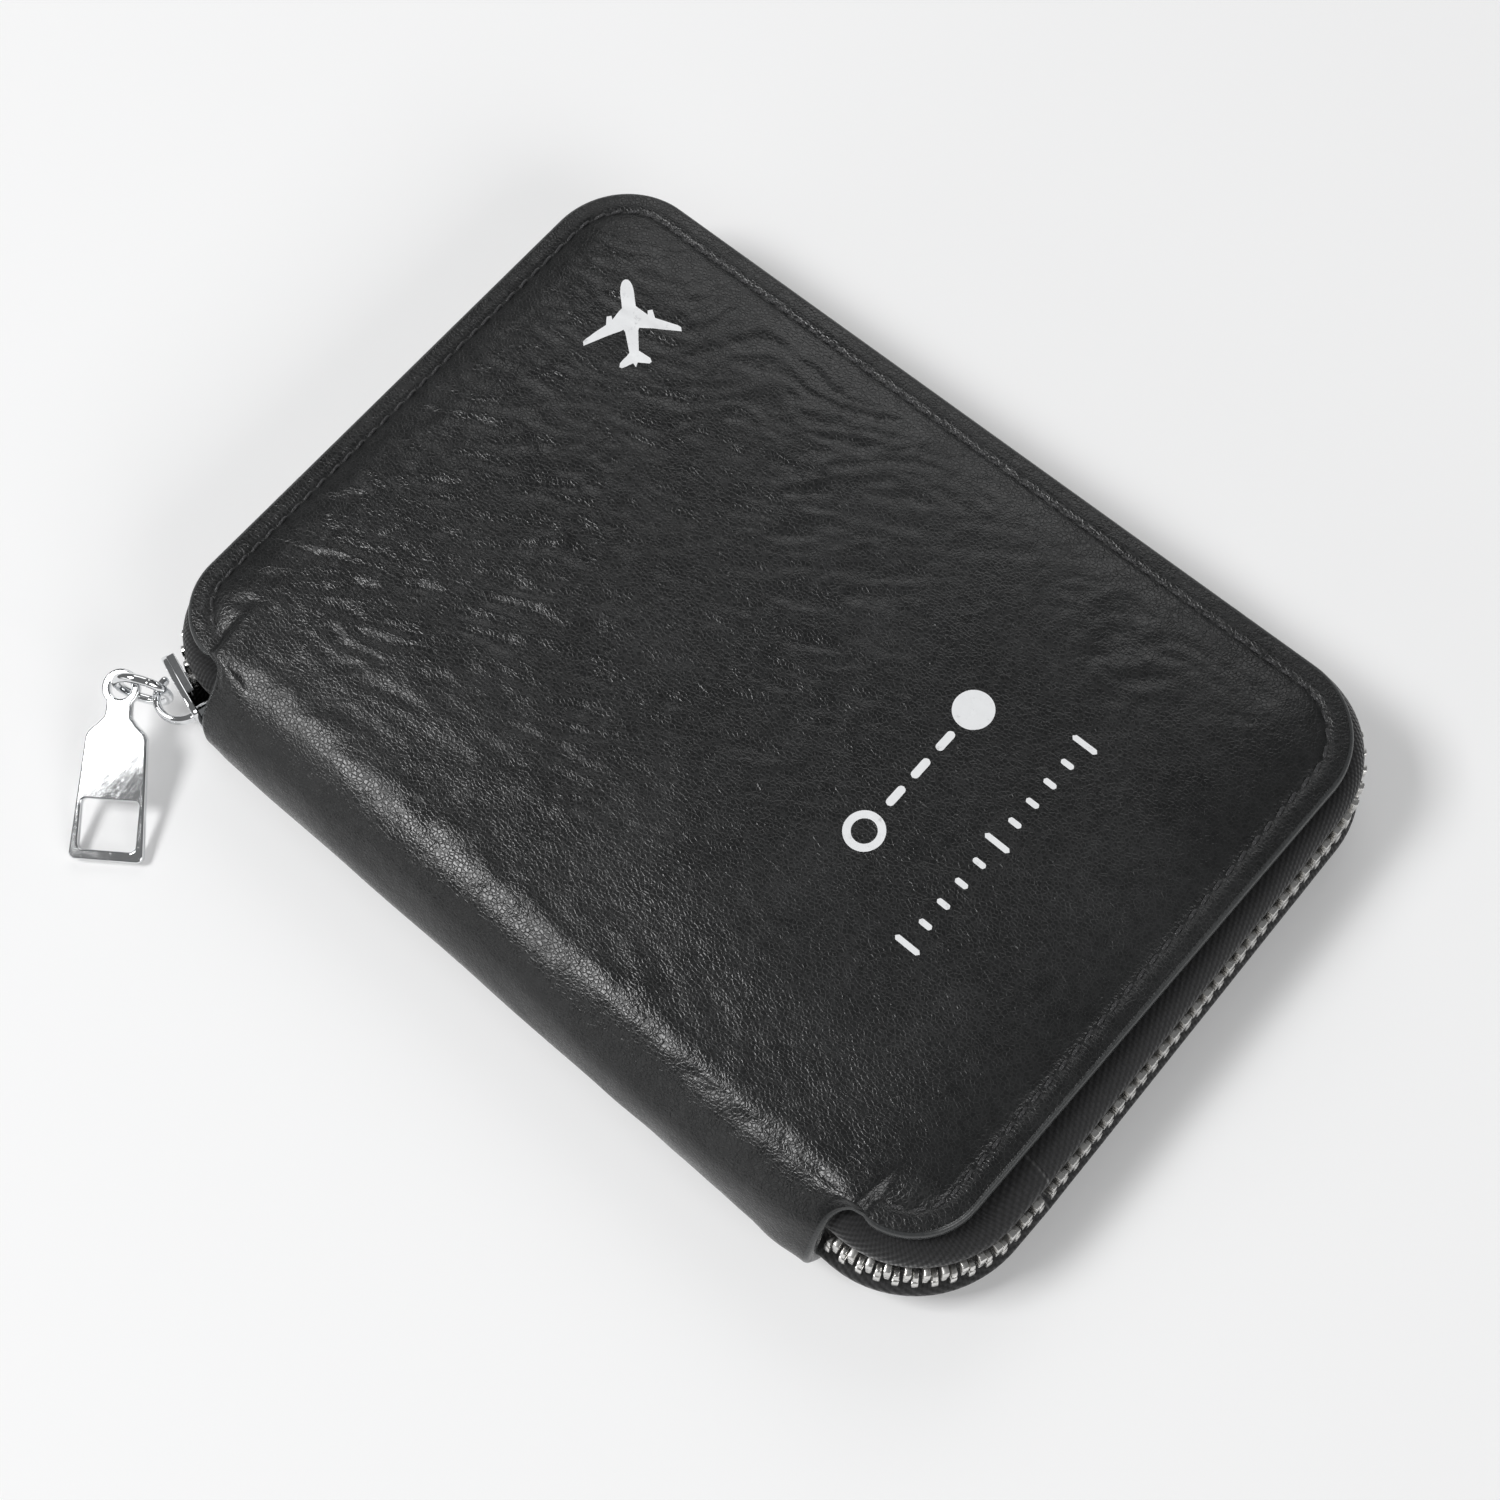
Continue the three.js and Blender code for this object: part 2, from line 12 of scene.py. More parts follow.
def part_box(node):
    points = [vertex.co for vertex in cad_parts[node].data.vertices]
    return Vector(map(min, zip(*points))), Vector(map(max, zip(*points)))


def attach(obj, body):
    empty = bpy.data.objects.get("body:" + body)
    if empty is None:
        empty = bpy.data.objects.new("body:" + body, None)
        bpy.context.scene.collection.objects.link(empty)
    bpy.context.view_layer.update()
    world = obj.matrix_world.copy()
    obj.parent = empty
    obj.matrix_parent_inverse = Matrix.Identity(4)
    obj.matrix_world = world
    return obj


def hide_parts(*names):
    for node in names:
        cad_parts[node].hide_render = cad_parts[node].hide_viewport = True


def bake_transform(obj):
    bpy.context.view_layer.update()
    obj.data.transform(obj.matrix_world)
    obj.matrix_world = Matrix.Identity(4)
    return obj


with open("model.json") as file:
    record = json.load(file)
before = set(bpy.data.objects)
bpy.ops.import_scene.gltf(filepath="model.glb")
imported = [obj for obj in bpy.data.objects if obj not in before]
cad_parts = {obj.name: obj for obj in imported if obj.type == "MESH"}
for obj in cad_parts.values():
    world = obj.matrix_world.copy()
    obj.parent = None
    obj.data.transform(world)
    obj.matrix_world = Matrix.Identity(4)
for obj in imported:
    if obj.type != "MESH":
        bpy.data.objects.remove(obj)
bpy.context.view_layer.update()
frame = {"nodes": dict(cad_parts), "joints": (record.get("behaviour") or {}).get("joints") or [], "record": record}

# ---------------------------------------------------------------- sizes, in millimetres, from the CAD nodes

MM = 0.001


def span(node):
    low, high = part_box(node)
    return np.array(low) / MM, np.array(high) / MM


back_high, front_high = span("back_leather")[1], span("front_leather")[1]
HALF_X, HALF_Y = back_high[0], back_high[1]
HEIGHT = front_high[2]
LEAN = front_high[1] - back_high[1]
MID = HEIGHT / 2
FOLD_Y = -HALF_Y + 4.5
SPINE_HALF = span("spine_leather_upper")[1][0]
JOINTS = {j["name"]: j for j in frame["joints"]}

EDGE_OUT = 0.8  # the turned edge stands this far outside the panel's grid
COVER_FAR, COVER_NEAR = 13.5, 11.0  # radii of a cover's corners, away from the spine and beside it
FAR_RADIUS, NEAR_RADIUS = COVER_FAR - EDGE_OUT, COVER_NEAR - EDGE_OUT
PANEL_X, PANEL_Y = HALF_X - EDGE_OUT, HALF_Y - EDGE_OUT
FLARE_X = PANEL_X - NEAR_RADIUS  # where the near corner's arc ends and the spine's concave flare begins
STRIP_HALF = SPINE_HALF - EDGE_OUT  # half the spine's length between its flares
SPINE_R = 10.75  # outer radius of the spine
SPINE_Y = FOLD_Y - 0.3  # the spine's centre line, where the covers start to bend into it
FRONT_PUFF, BACK_PUFF = 1.5, 0.48  # how far the padding swells each cover
FRONT_CREASE, BACK_CREASE = 1.0, 0.12  # share of the creases on each cover
RIM_FRONT, RIM_BACK = HEIGHT - 0.75, 0.62  # z of each cover's edge
STITCH_IN = 2.9  # stitch line, inside the panel grid's edge
rng = np.random.default_rng(7)


def smooth(t):
    t = np.clip(t, 0, 1)
    return t * t * (3 - 2 * t)


# ---------------------------------------------------------------- smooth noise on the plane


class Noise:
    """Periodic gradient noise in two dimensions, with values from about -1 to 1."""

    def __init__(self, seed, size=128):
        turn = np.random.default_rng(seed).uniform(0, 2 * np.pi, (size, size))
        self.size, self.gx, self.gy = size, np.cos(turn), np.sin(turn)

    def __call__(self, x, y):
        x0, y0 = np.floor(x).astype(int), np.floor(y).astype(int)
        fx, fy = x - x0, y - y0
        u, v = fx**3 * (fx * (fx * 6 - 15) + 10), fy**3 * (fy * (fy * 6 - 15) + 10)

        def corner(i, j):
            a, b = (x0 + i) % self.size, (y0 + j) % self.size
            return self.gx[a, b] * (fx - i) + self.gy[a, b] * (fy - j)

        low = corner(0, 0) * (1 - u) + corner(1, 0) * u
        high = corner(0, 1) * (1 - u) + corner(1, 1) * u
        return 1.5 * (low * (1 - v) + high * v)


broad, fine, warp, patch = Noise(3), Noise(11), Noise(23), Noise(31)


def creases(x, y):
    """Soft flowing creases, strongest over the cover's left and far parts, in millimetres."""
    wx = x + 5.0 * warp(x / 26, y / 26)
    wy = y + 5.0 * warp(x / 26 + 40, y / 26 + 17)
    turn = math.radians(24)
    along = wx * math.cos(turn) + wy * math.sin(turn)
    across = -wx * math.sin(turn) + wy * math.cos(turn)
    ridged = 1 - np.abs(fine(along / 9.5, across / 3.1)) * 2.2
    small = 1 - np.abs(broad(along / 4.6 + 9, across / 2.0)) * 2.2
    where = smooth(0.55 + 0.6 * patch(x / 34 + 3, y / 34) - (x - 5) / 130 + (y + 8) / 160)
    gentle = 0.30 * broad(x / 31, y / 24 + 5)
    return gentle + where * (0.175 * ridged + 0.105 * small) + 0.03 * fine(x / 2.3, y / 1.7)


# ---------------------------------------------------------------- cover surfaces


def inside_distance(x, y, half_x, half_y, near, far):
    """Distance inside a rectangle with round corners, of radius near at its -y side and far at its +y side."""
    dx, dy = half_x - np.abs(x), half_y - np.abs(y)
    radius = np.where(y > 0, far, near)
    a, b = np.clip(radius - dx, 0, None), np.clip(radius - dy, 0, None)
    return np.where((a > 0) & (b > 0), radius - np.hypot(a, b), np.minimum(dx, dy))


def edge_distance(x, y):
    """Distance inside a cover's outline, not counting the spine's side between the flaps."""
    d = inside_distance(x, y, PANEL_X, PANEL_Y, NEAR_RADIUS, FAR_RADIUS)
    open_side = smooth((FLARE_X + 0.5 - np.abs(x)) / 4.5) * (y < 0)
    return np.maximum(d, np.minimum(np.minimum(PANEL_X - np.abs(x), PANEL_Y - y), d + 30 * open_side))


def cover_rise(x, y, puff, crease):
    """Height of a cover's outer face over its edge's level."""
    d = edge_distance(x, y)
    rise = 0.12 * smooth(d / 1.6)
    rise = rise - 0.24 * np.exp(-(((d - STITCH_IN) / 0.55) ** 2))
    swell = np.clip((d - STITCH_IN - 0.3) / 30, 0, 1)
    rise = rise + puff * (1 - (1 - swell) ** 5)
    pucker = np.exp(-(((d - STITCH_IN - 1.6) / 1.4) ** 2)) * 0.035 * fine((x + y) / 2.2, (x - y) / 2.2)
    return rise + crease * creases(x, y) * smooth((d - STITCH_IN) / 5) + crease * pucker


def arc_point(theta, radius=SPINE_R):
    z = MID + radius * np.cos(theta)
    y = SPINE_Y - radius * np.sin(theta) + LEAN * z / HEIGHT
    return y, z


def arc_top(y, front):
    """Height of the spine's arc over or under a cover's near part, at distance y from the arc's start."""
    out = np.clip(-y, 0, SPINE_R * 0.7)
    rise = np.sqrt(SPINE_R**2 - out**2)
    return MID + rise if front else MID - rise


def front_height(x, y):
    """z of the front cover's outer face at row-frame x, y."""
    u = y - LEAN
    z = RIM_FRONT + cover_rise(x, u, FRONT_PUFF, FRONT_CREASE)
    on_spine = smooth((FLARE_X + 0.5 - np.abs(x)) / 8.5)
    near = smooth((u - SPINE_Y + 1.0) / 16)
    arc = arc_top(u - SPINE_Y, True) + 0.5 * creases(x, u) + 0.12 * broad(x / 5.5, u / 3)
    return on_spine * (near * z + (1 - near) * arc) + (1 - on_spine) * z


def back_height(x, y):
    """z of the back cover's outer face."""
    z = RIM_BACK - cover_rise(x, y, BACK_PUFF, BACK_CREASE)
    on_spine = smooth((FLARE_X + 0.5 - np.abs(x)) / 4.5)
    near = smooth((y - SPINE_Y + 1.0) / 10)
    arc = np.maximum(arc_top(y - SPINE_Y, False) + 0.25, 0.06)
    return on_spine * (near * z + (1 - near) * arc) + (1 - on_spine) * z


def spaced(half, step):
    """Coordinates from -half to half, close together by the edges."""
    rows = [0, 0.35, 0.7, 1.1, 1.5, 1.9, 2.2, 2.5, 2.75, 3.0, 3.25, 3.55, 3.9, 4.4, 5.0]
    middle_low, middle_high = -half + rows[-1], half - rows[-1]
    count = int(round((middle_high - middle_low) / step))
    middle = np.linspace(middle_low, middle_high, count + 1)[1:-1]
    return np.concatenate([-half + np.array(rows), middle, (half - np.array(rows))[::-1]])


def plan_points(xs, ys, near, far):
    """A grid whose corner squares are drawn in to quarter discs, so that its rows follow round corners."""
    x, y = np.meshgrid(xs, ys, indexing="ij")
    for sy, radius in ((1, far), (-1, near)):
        a = (np.abs(x) - (xs[-1] - radius)) / radius
        b = (sy * y - (ys[-1] - radius)) / radius
        inside = (a > 0) & (b > 0)
        big, small = np.maximum(a, b), np.minimum(a, b)
        phi = (math.pi / 4) * small / np.where(big > 0, big, 1)
        c, s = big * np.cos(phi), big * np.sin(phi)
        na, nb = np.where(a >= b, c, s), np.where(a >= b, s, c)
        x = np.where(inside, np.sign(x) * (xs[-1] - radius + radius * na), x)
        y = np.where(inside, sy * (ys[-1] - radius + radius * nb), y)
    return x, y


def linked(name, data):
    """A new object in the scene."""
    obj = bpy.data.objects.new(name, data)
    bpy.context.scene.collection.objects.link(obj)
    return obj


def new_mesh(name, vertices, faces):
    """A mesh of vertices given in millimetres."""
    mesh = bpy.data.meshes.new(name)
    points = [tuple(v) for v in np.asarray(vertices) * MM]
    mesh.from_pydata(points, [], [tuple(int(i) for i in f) for f in faces])
    mesh.update()
    return mesh


def new_object(name, vertices, faces, smooth_faces=True):
    mesh = new_mesh(name, vertices, faces)
    if smooth_faces:
        mesh.shade_smooth()
    return linked(name, mesh)


def grid_faces(rows, columns, round_rows=False, round_columns=False):
    """Faces of a grid of vertices, numbered row by row, which may close on itself either way."""
    i = np.arange(rows if round_rows else rows - 1)[:, None]
    k = np.arange(columns if round_columns else columns - 1)[None]
    next_i, next_k = (i + 1) % rows, (k + 1) % columns
    corners = [i * columns + k, next_i * columns + k, next_i * columns + next_k, i * columns + next_k]
    return np.stack(corners, -1).reshape(-1, 4)


def dress(obj, look):
    """Gives a piece its material."""
    obj.data.materials.append(look)


STEP = 0.62
# The turned edge's section, from the surface round to the inside: distance outwards, and height.
TURNED_EDGE = [(0.28, -0.05), (0.52, -0.18), (0.70, -0.42), (0.80, -0.78), (0.82, -1.4), (0.80, -2.0)]
TURNED_EDGE += [(0.68, -2.42), (0.42, -2.72), (0.0, -2.86), (-1.2, -2.9), (-2.8, -2.9)]
SKIN_PIECES = ["front_cover_leather", "front_fold_leather", "spine_middle_leather"]
SKIN_PIECES += ["back_fold_leather", "back_cover_leather"]
FRONT, FRONT_FOLD, MIDDLE, BACK_FOLD, BACK = range(5)  # places in SKIN_PIECES
COVERS = (FRONT, BACK)


def leather_skin():
    """The whole outer leather as one surface: front cover, spine and back cover, with its turned edge.

    Returns its vertices, its faces, each face's place in SKIN_PIECES, and the count of vertices before the edge."""
    xs, ys = spaced(PANEL_X, STEP), spaced(PANEL_Y, STEP)
    flare = [FLARE_X - k for k in (0, 0.5, 1.0, 1.6, 2.3, 3.2, 4.2)]
    clear = [v for v in xs if all(abs(abs(v) - f) > 0.25 for f in flare)]
    xs = np.array(sorted(clear + flare + [-f for f in flare]))
    nx, ny = len(xs), len(ys)
    px, py = plan_points(xs, ys, NEAR_RADIUS, FAR_RADIUS)
    near_columns = np.flatnonzero(np.abs(xs) <= FLARE_X + 1e-6)
    first, last = near_columns[0], near_columns[-1]

    front = np.stack([px, py + LEAN, front_height(px, py + LEAN)], -1)
    back = np.stack([px, py, back_height(px, py)], -1)

    # Spine rows between the two covers' near rows.
    reach = PANEL_Y + SPINE_Y
    theta0 = math.asin(reach / SPINE_R)
    rows = 58
    thetas = np.linspace(theta0, math.pi - theta0, rows + 2)[1:-1]
    arc_length = SPINE_R * (thetas - theta0)
    arc_back = SPINE_R * (math.pi - theta0 - thetas)
    strip = np.zeros((len(near_columns), rows, 3))
    x_near = xs[near_columns]
    for k, theta in enumerate(thetas):
        from_end = min(arc_length[k], arc_back[k])
        fillet = FLARE_X - STRIP_HALF
        t = min(1, from_end / (fillet * 1.15))
        half = STRIP_HALF + fillet * (1 - math.sqrt(1 - (1 - t) ** 2))
        x = x_near * half / FLARE_X
        radius = SPINE_R + 0.22 * broad(x / 21 + 7, theta * 2.2) + 0.07 * creases(x, theta * 14 + 30)
        end = smooth((half - np.abs(x)) / 5)
        radius = radius - 0.25 * (1 - end)
        pucker = 0.16 * fine((x + 6 * theta) / 5.5, theta * 1.3) * smooth((x - 10) / 40)
        y, z = arc_point(theta, radius + pucker)
        strip[:, k] = np.stack([x, y, z], -1)
        # The first and last rows are drawn to the covers' own edges.
        fade_front, fade_back = 1 - smooth(arc_length[k] / 5), 1 - smooth(arc_back[k] / 5)
        for near, fade, theta_end in ((front, fade_front, theta0), (back, fade_back, math.pi - theta0)):
            end_y, end_z = arc_point(theta_end)
            strip[:, k, 1] += fade * (near[near_columns, 0, 1] - end_y)
            strip[:, k, 2] += fade * (near[near_columns, 0, 2] - end_z)

    vertices = np.concatenate([front.reshape(-1, 3), back.reshape(-1, 3), strip.reshape(-1, 3)])
    base_back, base_strip = nx * ny, 2 * nx * ny
    f_id = lambda i, j: i * ny + j
    b_id = lambda i, j: base_back + i * ny + j

    def s_id(i, k):
        if k < 0:
            return f_id(i, 0)
        if k >= rows:
            return b_id(i, 0)
        return base_strip + (i - first) * rows + k

    faces, part = [], []
    bend = np.searchsorted(ys, -PANEL_Y + 9.0)
    for i in range(nx - 1):
        on_spine = first <= i < last
        for j in range(ny - 1):
            faces.append((f_id(i, j), f_id(i + 1, j), f_id(i + 1, j + 1), f_id(i, j + 1)))
            part.append(FRONT_FOLD if on_spine and j < bend else FRONT)
            faces.append((b_id(i, j), b_id(i, j + 1), b_id(i + 1, j + 1), b_id(i + 1, j)))
            part.append(BACK_FOLD if on_spine and j < bend else BACK)
    third = rows // 3
    row_part = lambda k: FRONT_FOLD if k < third else (MIDDLE if k < rows - third else BACK_FOLD)
    for i in range(first, last):
        for k in range(-1, rows):
            faces.append((s_id(i, k), s_id(i, k + 1), s_id(i + 1, k + 1), s_id(i + 1, k)))
            part.append(row_part(k))

    # The open edge, once round: (vertex, part of the face behind it).
    loop = [(f_id(i, 0), FRONT) for i in range(last, nx)]
    loop += [(f_id(nx - 1, j), FRONT) for j in range(1, ny)]
    loop += [(f_id(i, ny - 1), FRONT) for i in range(nx - 2, -1, -1)]
    loop += [(f_id(0, j), FRONT) for j in range(ny - 2, -1, -1)]
    loop += [(f_id(i, 0), FRONT) for i in range(1, first + 1)]
    loop += [(s_id(first, k), row_part(k)) for k in range(0, rows)]
    loop += [(b_id(i, 0), BACK) for i in range(first, -1, -1)]
    loop += [(b_id(0, j), BACK) for j in range(1, ny)]
    loop += [(b_id(i, ny - 1), BACK) for i in range(1, nx)]
    loop += [(b_id(nx - 1, j), BACK) for j in range(ny - 2, -1, -1)]
    loop += [(b_id(i, 0), BACK) for i in range(nx - 2, last - 1, -1)]
    loop += [(s_id(last, k), row_part(k)) for k in range(rows - 1, -1, -1)]
    ids = np.array([v for v, _ in loop])
    points = vertices[ids]

    # Outward direction in the surface, and the surface's own normal, along the edge.
    corner_ids = np.array(faces)
    corners = vertices[corner_ids]
    normal = np.cross(corners[:, 2] - corners[:, 0], corners[:, 3] - corners[:, 1])
    vertex_normal = np.zeros_like(vertices)
    for c in range(4):
        np.add.at(vertex_normal, corner_ids[:, c], normal)
    vertex_normal /= np.linalg.norm(vertex_normal, axis=1)[:, None] + 1e-12
    n = vertex_normal[ids]
    tangent = np.roll(points, -1, 0) - np.roll(points, 1, 0)
    tangent /= np.linalg.norm(tangent, axis=1)[:, None]
    for _ in range(3):
        n = 0.5 * n + 0.25 * (np.roll(n, 1, 0) + np.roll(n, -1, 0))
    n -= (n * tangent).sum(1)[:, None] * tangent
    n /= np.linalg.norm(n, axis=1)[:, None]
    out = np.cross(tangent, n)
    surface_count = len(vertices)
    previous = ids
    count = len(ids)
    for o, h in TURNED_EDGE:
        ring = points + out * o + n * h
        base = len(vertices)
        vertices = np.concatenate([vertices, ring])
        current = base + np.arange(count)
        for a in range(count):
            b = (a + 1) % count
            faces.append((previous[b], previous[a], current[a], current[b]))
            # Where a cover meets the spine, the spine's piece takes the face.
            here, there = loop[a][1], loop[b][1]
            part.append(there if here in COVERS and there not in COVERS else here)
        previous = current
    return vertices, np.array(faces), np.array(part), surface_count


skin_vertices, skin_faces, skin_part, surface_count = leather_skin()


def split_skin():
    """The skin's pieces, shaded with the whole skin's normals so that no seam shows between them."""
    mesh = new_mesh("whole", skin_vertices, skin_faces)
    normals = np.zeros(len(mesh.vertices) * 3, np.float32)
    mesh.vertex_normals.foreach_get("vector", normals)
    normals = normals.reshape(-1, 3)
    objects = []
    for k, name in enumerate(SKIN_PIECES):
        mine = skin_faces[skin_part == k]
        used, inverse = np.unique(mine, return_inverse=True)
        obj = new_object(name, skin_vertices[used], inverse.reshape(mine.shape))
        obj.data.normals_split_custom_set_from_vertices([tuple(v) for v in normals[used]])
        # Marks the turned edge, which the leather colours with edge paint lightened into a painted highlight.
        painted = obj.data.attributes.new("edge_paint_and_highlight", "FLOAT", "POINT")
        painted.data.foreach_set("value", (used >= surface_count).astype(np.float32))
        objects.append(obj)
    bpy.data.meshes.remove(mesh)
    return objects


front_skin, front_fold, spine_skin, back_fold, back_skin = split_skin()

# ---------------------------------------------------------------- materials


class Look:
    """A material, with short ways to add nodes to its shader."""

    def __init__(self, name, base, roughness, metallic=0.0, **sockets):
        self.material = bpy.data.materials.new(name)
        self.material.use_nodes = True
        self.tree = self.material.node_tree
        self.shader = self.tree.nodes["Principled BSDF"]
        self.shader.inputs["Base Color"].default_value = (*base, 1)
        self.shader.inputs["Roughness"].default_value = roughness
        self.shader.inputs["Metallic"].default_value = metallic
        for key, value in sockets.items():
            self.shader.inputs[key.replace("_", " ")].default_value = value
        self.coordinates = self.tree.nodes.new("ShaderNodeTexCoord").outputs["Object"]

    def shade(self, **sockets):
        """Links values to the shader's sockets of these names."""
        for key, value in sockets.items():
            self.link(value, self.shader.inputs[key.replace("_", " ")])

    def link(self, source, target):
        self.tree.links.new(source, target)

    def scaled(self, scale, rotation):
        node = self.tree.nodes.new("ShaderNodeMapping")
        node.inputs["Scale"].default_value = scale
        node.inputs["Rotation"].default_value = rotation
        self.link(self.coordinates, node.inputs["Vector"])
        return node.outputs["Vector"]

    def shifted(self, vector, scale, amount):
        """The vector moved about by soft noise, by up to half of amount each way."""
        node = self.tree.nodes.new("ShaderNodeTexNoise")
        node.inputs["Scale"].default_value = scale
        self.link(vector, node.inputs["Vector"])
        move = self.tree.nodes.new("ShaderNodeVectorMath")
        move.operation = "MULTIPLY_ADD"
        move.inputs[1].default_value = (amount,) * 3
        self.link(node.outputs["Color"], move.inputs[0])
        self.link(vector, move.inputs[2])
        return move.outputs["Vector"]

    def noise(self, scale, detail=4, rough=0.55, vector=None, distortion=0.0):
        node = self.tree.nodes.new("ShaderNodeTexNoise")
        node.inputs["Scale"].default_value = scale
        node.inputs["Detail"].default_value = detail
        node.inputs["Roughness"].default_value = rough
        node.inputs["Distortion"].default_value = distortion
        self.link(vector or self.coordinates, node.inputs["Vector"])
        return node.outputs["Fac"]

    def voronoi(self, scale, feature="F1", vector=None):
        node = self.tree.nodes.new("ShaderNodeTexVoronoi")
        node.feature = feature
        node.inputs["Scale"].default_value = scale
        self.link(vector or self.coordinates, node.inputs["Vector"])
        return node.outputs["Distance"]

    def wave(self, scale, direction="X", vector=None, distortion=0.0):
        node = self.tree.nodes.new("ShaderNodeTexWave")
        node.bands_direction = direction
        node.inputs["Scale"].default_value = scale
        node.inputs["Distortion"].default_value = distortion
        self.link(vector or self.coordinates, node.inputs["Vector"])
        return node.outputs["Fac"]

    def math(self, operation, a, b=None):
        node = self.tree.nodes.new("ShaderNodeMath")
        node.operation = operation
        for value, socket in zip((a, b), node.inputs):
            if value is None:
                continue
            if isinstance(value, (int, float)):
                socket.default_value = value
            else:
                self.link(value, socket)
        return node.outputs[0]

    def add(self, a, b):
        return self.math("ADD", a, b)

    def times(self, a, b):
        return self.math("MULTIPLY", a, b)

    def spread(self, value, low, high, to_low, to_high):
        node = self.tree.nodes.new("ShaderNodeMapRange")
        node.inputs["From Min"].default_value = low
        node.inputs["From Max"].default_value = high
        node.inputs["To Min"].default_value = to_low
        node.inputs["To Max"].default_value = to_high
        self.link(value, node.inputs["Value"])
        return node.outputs["Result"]

    def mix(self, factor, a, b):
        node = self.tree.nodes.new("ShaderNodeMix")
        node.data_type = "RGBA"
        self.link(factor, node.inputs["Factor"])
        for value, socket in ((a, node.inputs[6]), (b, node.inputs[7])):
            if isinstance(value, tuple):
                socket.default_value = (*value, 1)
            else:
                self.link(value, socket)
        return node.outputs[2]

    def bump(self, height, distance, strength=1.0, normal=None):
        node = self.tree.nodes.new("ShaderNodeBump")
        node.inputs["Distance"].default_value = distance
        node.inputs["Strength"].default_value = strength
        self.link(height, node.inputs["Height"])
        if normal is not None:
            self.link(normal, node.inputs["Normal"])
        return node.outputs["Normal"]


LEATHER_DARK = (0.0078, 0.0081, 0.0083)
LEATHER_LIGHT = (0.0165, 0.0170, 0.0173)
LEATHER_WORN = (0.030, 0.031, 0.031)
# The turned edge's colour: its edge paint, made lighter to stand for a painted highlight along the edge.
EDGE_PAINT_AND_HIGHLIGHT = (0.0400, 0.0420, 0.0425)


def leather_material(name, grain=1.0, gloss=0.245):
    g = Look(name, LEATHER_DARK, gloss, Specular_IOR_Level=0.45)
    edge = g.tree.nodes.new("ShaderNodeAttribute")
    edge.attribute_name = "edge_paint_and_highlight"
    plain = g.spread(edge.outputs["Fac"], 0.2, 0.9, 1.0, 0.12)
    wander = g.shifted(g.scaled((1.0, 1.25, 1.25), (0, 0, 0.25)), 45, 0.0016)
    cells = g.spread(g.voronoi(1450, "DISTANCE_TO_EDGE", wander), 0.0, 0.20, 0.0, 1.0)
    pores, fibres = g.voronoi(3600), g.noise(3600, 3)
    pebble = g.add(cells, g.add(g.times(fibres, 0.40), g.times(pores, 0.25)))
    soft = g.noise(480, 3, 0.5)
    lines = g.math("ABSOLUTE", g.math("SUBTRACT", g.noise(300, 3, 0.55, distortion=0.3), 0.5))
    normal = g.bump(g.times(pebble, plain), 0.000021 * grain)
    normal = g.bump(g.times(soft, plain), 0.00010 * grain, normal=normal)
    normal = g.bump(g.times(g.spread(lines, 0.0, 0.05, 0.0, 1.0), plain), 0.000018 * grain, normal=normal)
    tone = g.times(g.noise(28, 5, 0.6), g.noise(520, 3, 0.6))
    colour = g.mix(g.spread(tone, 0.14, 0.38, 0, 1), LEATHER_DARK, LEATHER_LIGHT)
    streaks = g.noise(150, 6, 0.7, vector=g.scaled((1, 0.25, 1), (0, 0, 0.9)))
    worn = g.mix(g.spread(streaks, 0.66, 0.78, 0, 0.35), colour, LEATHER_WORN)
    polish = g.spread(g.noise(70, 5, 0.6), 0.3, 0.7, gloss - 0.07, gloss + 0.08)
    g.shade(
        Normal=normal,
        # The turned edge takes its edge paint, lightened into a painted highlight.
        Base_Color=g.mix(g.spread(edge.outputs["Fac"], 0.3, 1.0, 0, 1), worn, EDGE_PAINT_AND_HIGHLIGHT),
        Roughness=g.add(polish, g.spread(cells, 0, 1, 0.14, -0.02)),
    )
    return g.material


leather = leather_material("pebbled_leather")
for piece in (front_skin, front_fold, spine_skin, back_fold, back_skin):
    dress(piece, leather)

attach(front_skin, "front_cover")
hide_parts("front_leather")
hinge_front = Vector(JOINTS["front_fold"]["pos_m"])
hinge_back = Vector(JOINTS["back_fold"]["pos_m"])
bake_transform(front_fold)
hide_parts("spine_leather_upper")
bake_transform(spine_skin)
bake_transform(back_fold)
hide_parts("spine_leather_lower")
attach(back_skin, "back_cover")
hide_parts("back_leather")

# ---------------------------------------------------------------- zip track

TAPE_END_Y = -27.0  # where the tape's end piece beside the spine joins the sewn run
LINE_Y, TURN_X, TUCK_X = -51.2, 62.5, 55.5  # the teeth's line along the spine, its turn's centre, and its end
TURN = {"right": 16.8, "left": 13.9}  # radius of the turn into the spine
FAR_BULGE = 2.75  # how far the zip stands out past the covers' far side
FAR_SHARE = 0.45  # share of a short side's bulge that is left at its far corner
SEWN_FAR, SEWN_NEAR = COVER_FAR, 12.5  # radii of the sewn edge's corners
SHIFT = LEAN / 2
PITCH = 2.54  # from tooth to tooth on one tape
TAPE_THICK = 0.55
SLIDER_TURN = math.radians(17)  # the slider's place round the left turn


def run_of(points, step):
    """Subdivides a run of track stations (edge, line and outward direction) to about one step."""
    points = np.array(points, float)
    gap = np.linalg.norm(np.diff(points[:, 2:4], axis=0), axis=1)
    pieces = [points[:1]]
    for a, b, length in zip(points[:-1], points[1:], gap):
        n = max(1, int(math.ceil(length / step)))
        t = np.linspace(0, 1, n + 1)[1:, None]
        pieces.append(a * (1 - t) + b * t)
    run = np.concatenate(pieces)
    run[:, 4:6] /= np.linalg.norm(run[:, 4:6], axis=1)[:, None]
    return run


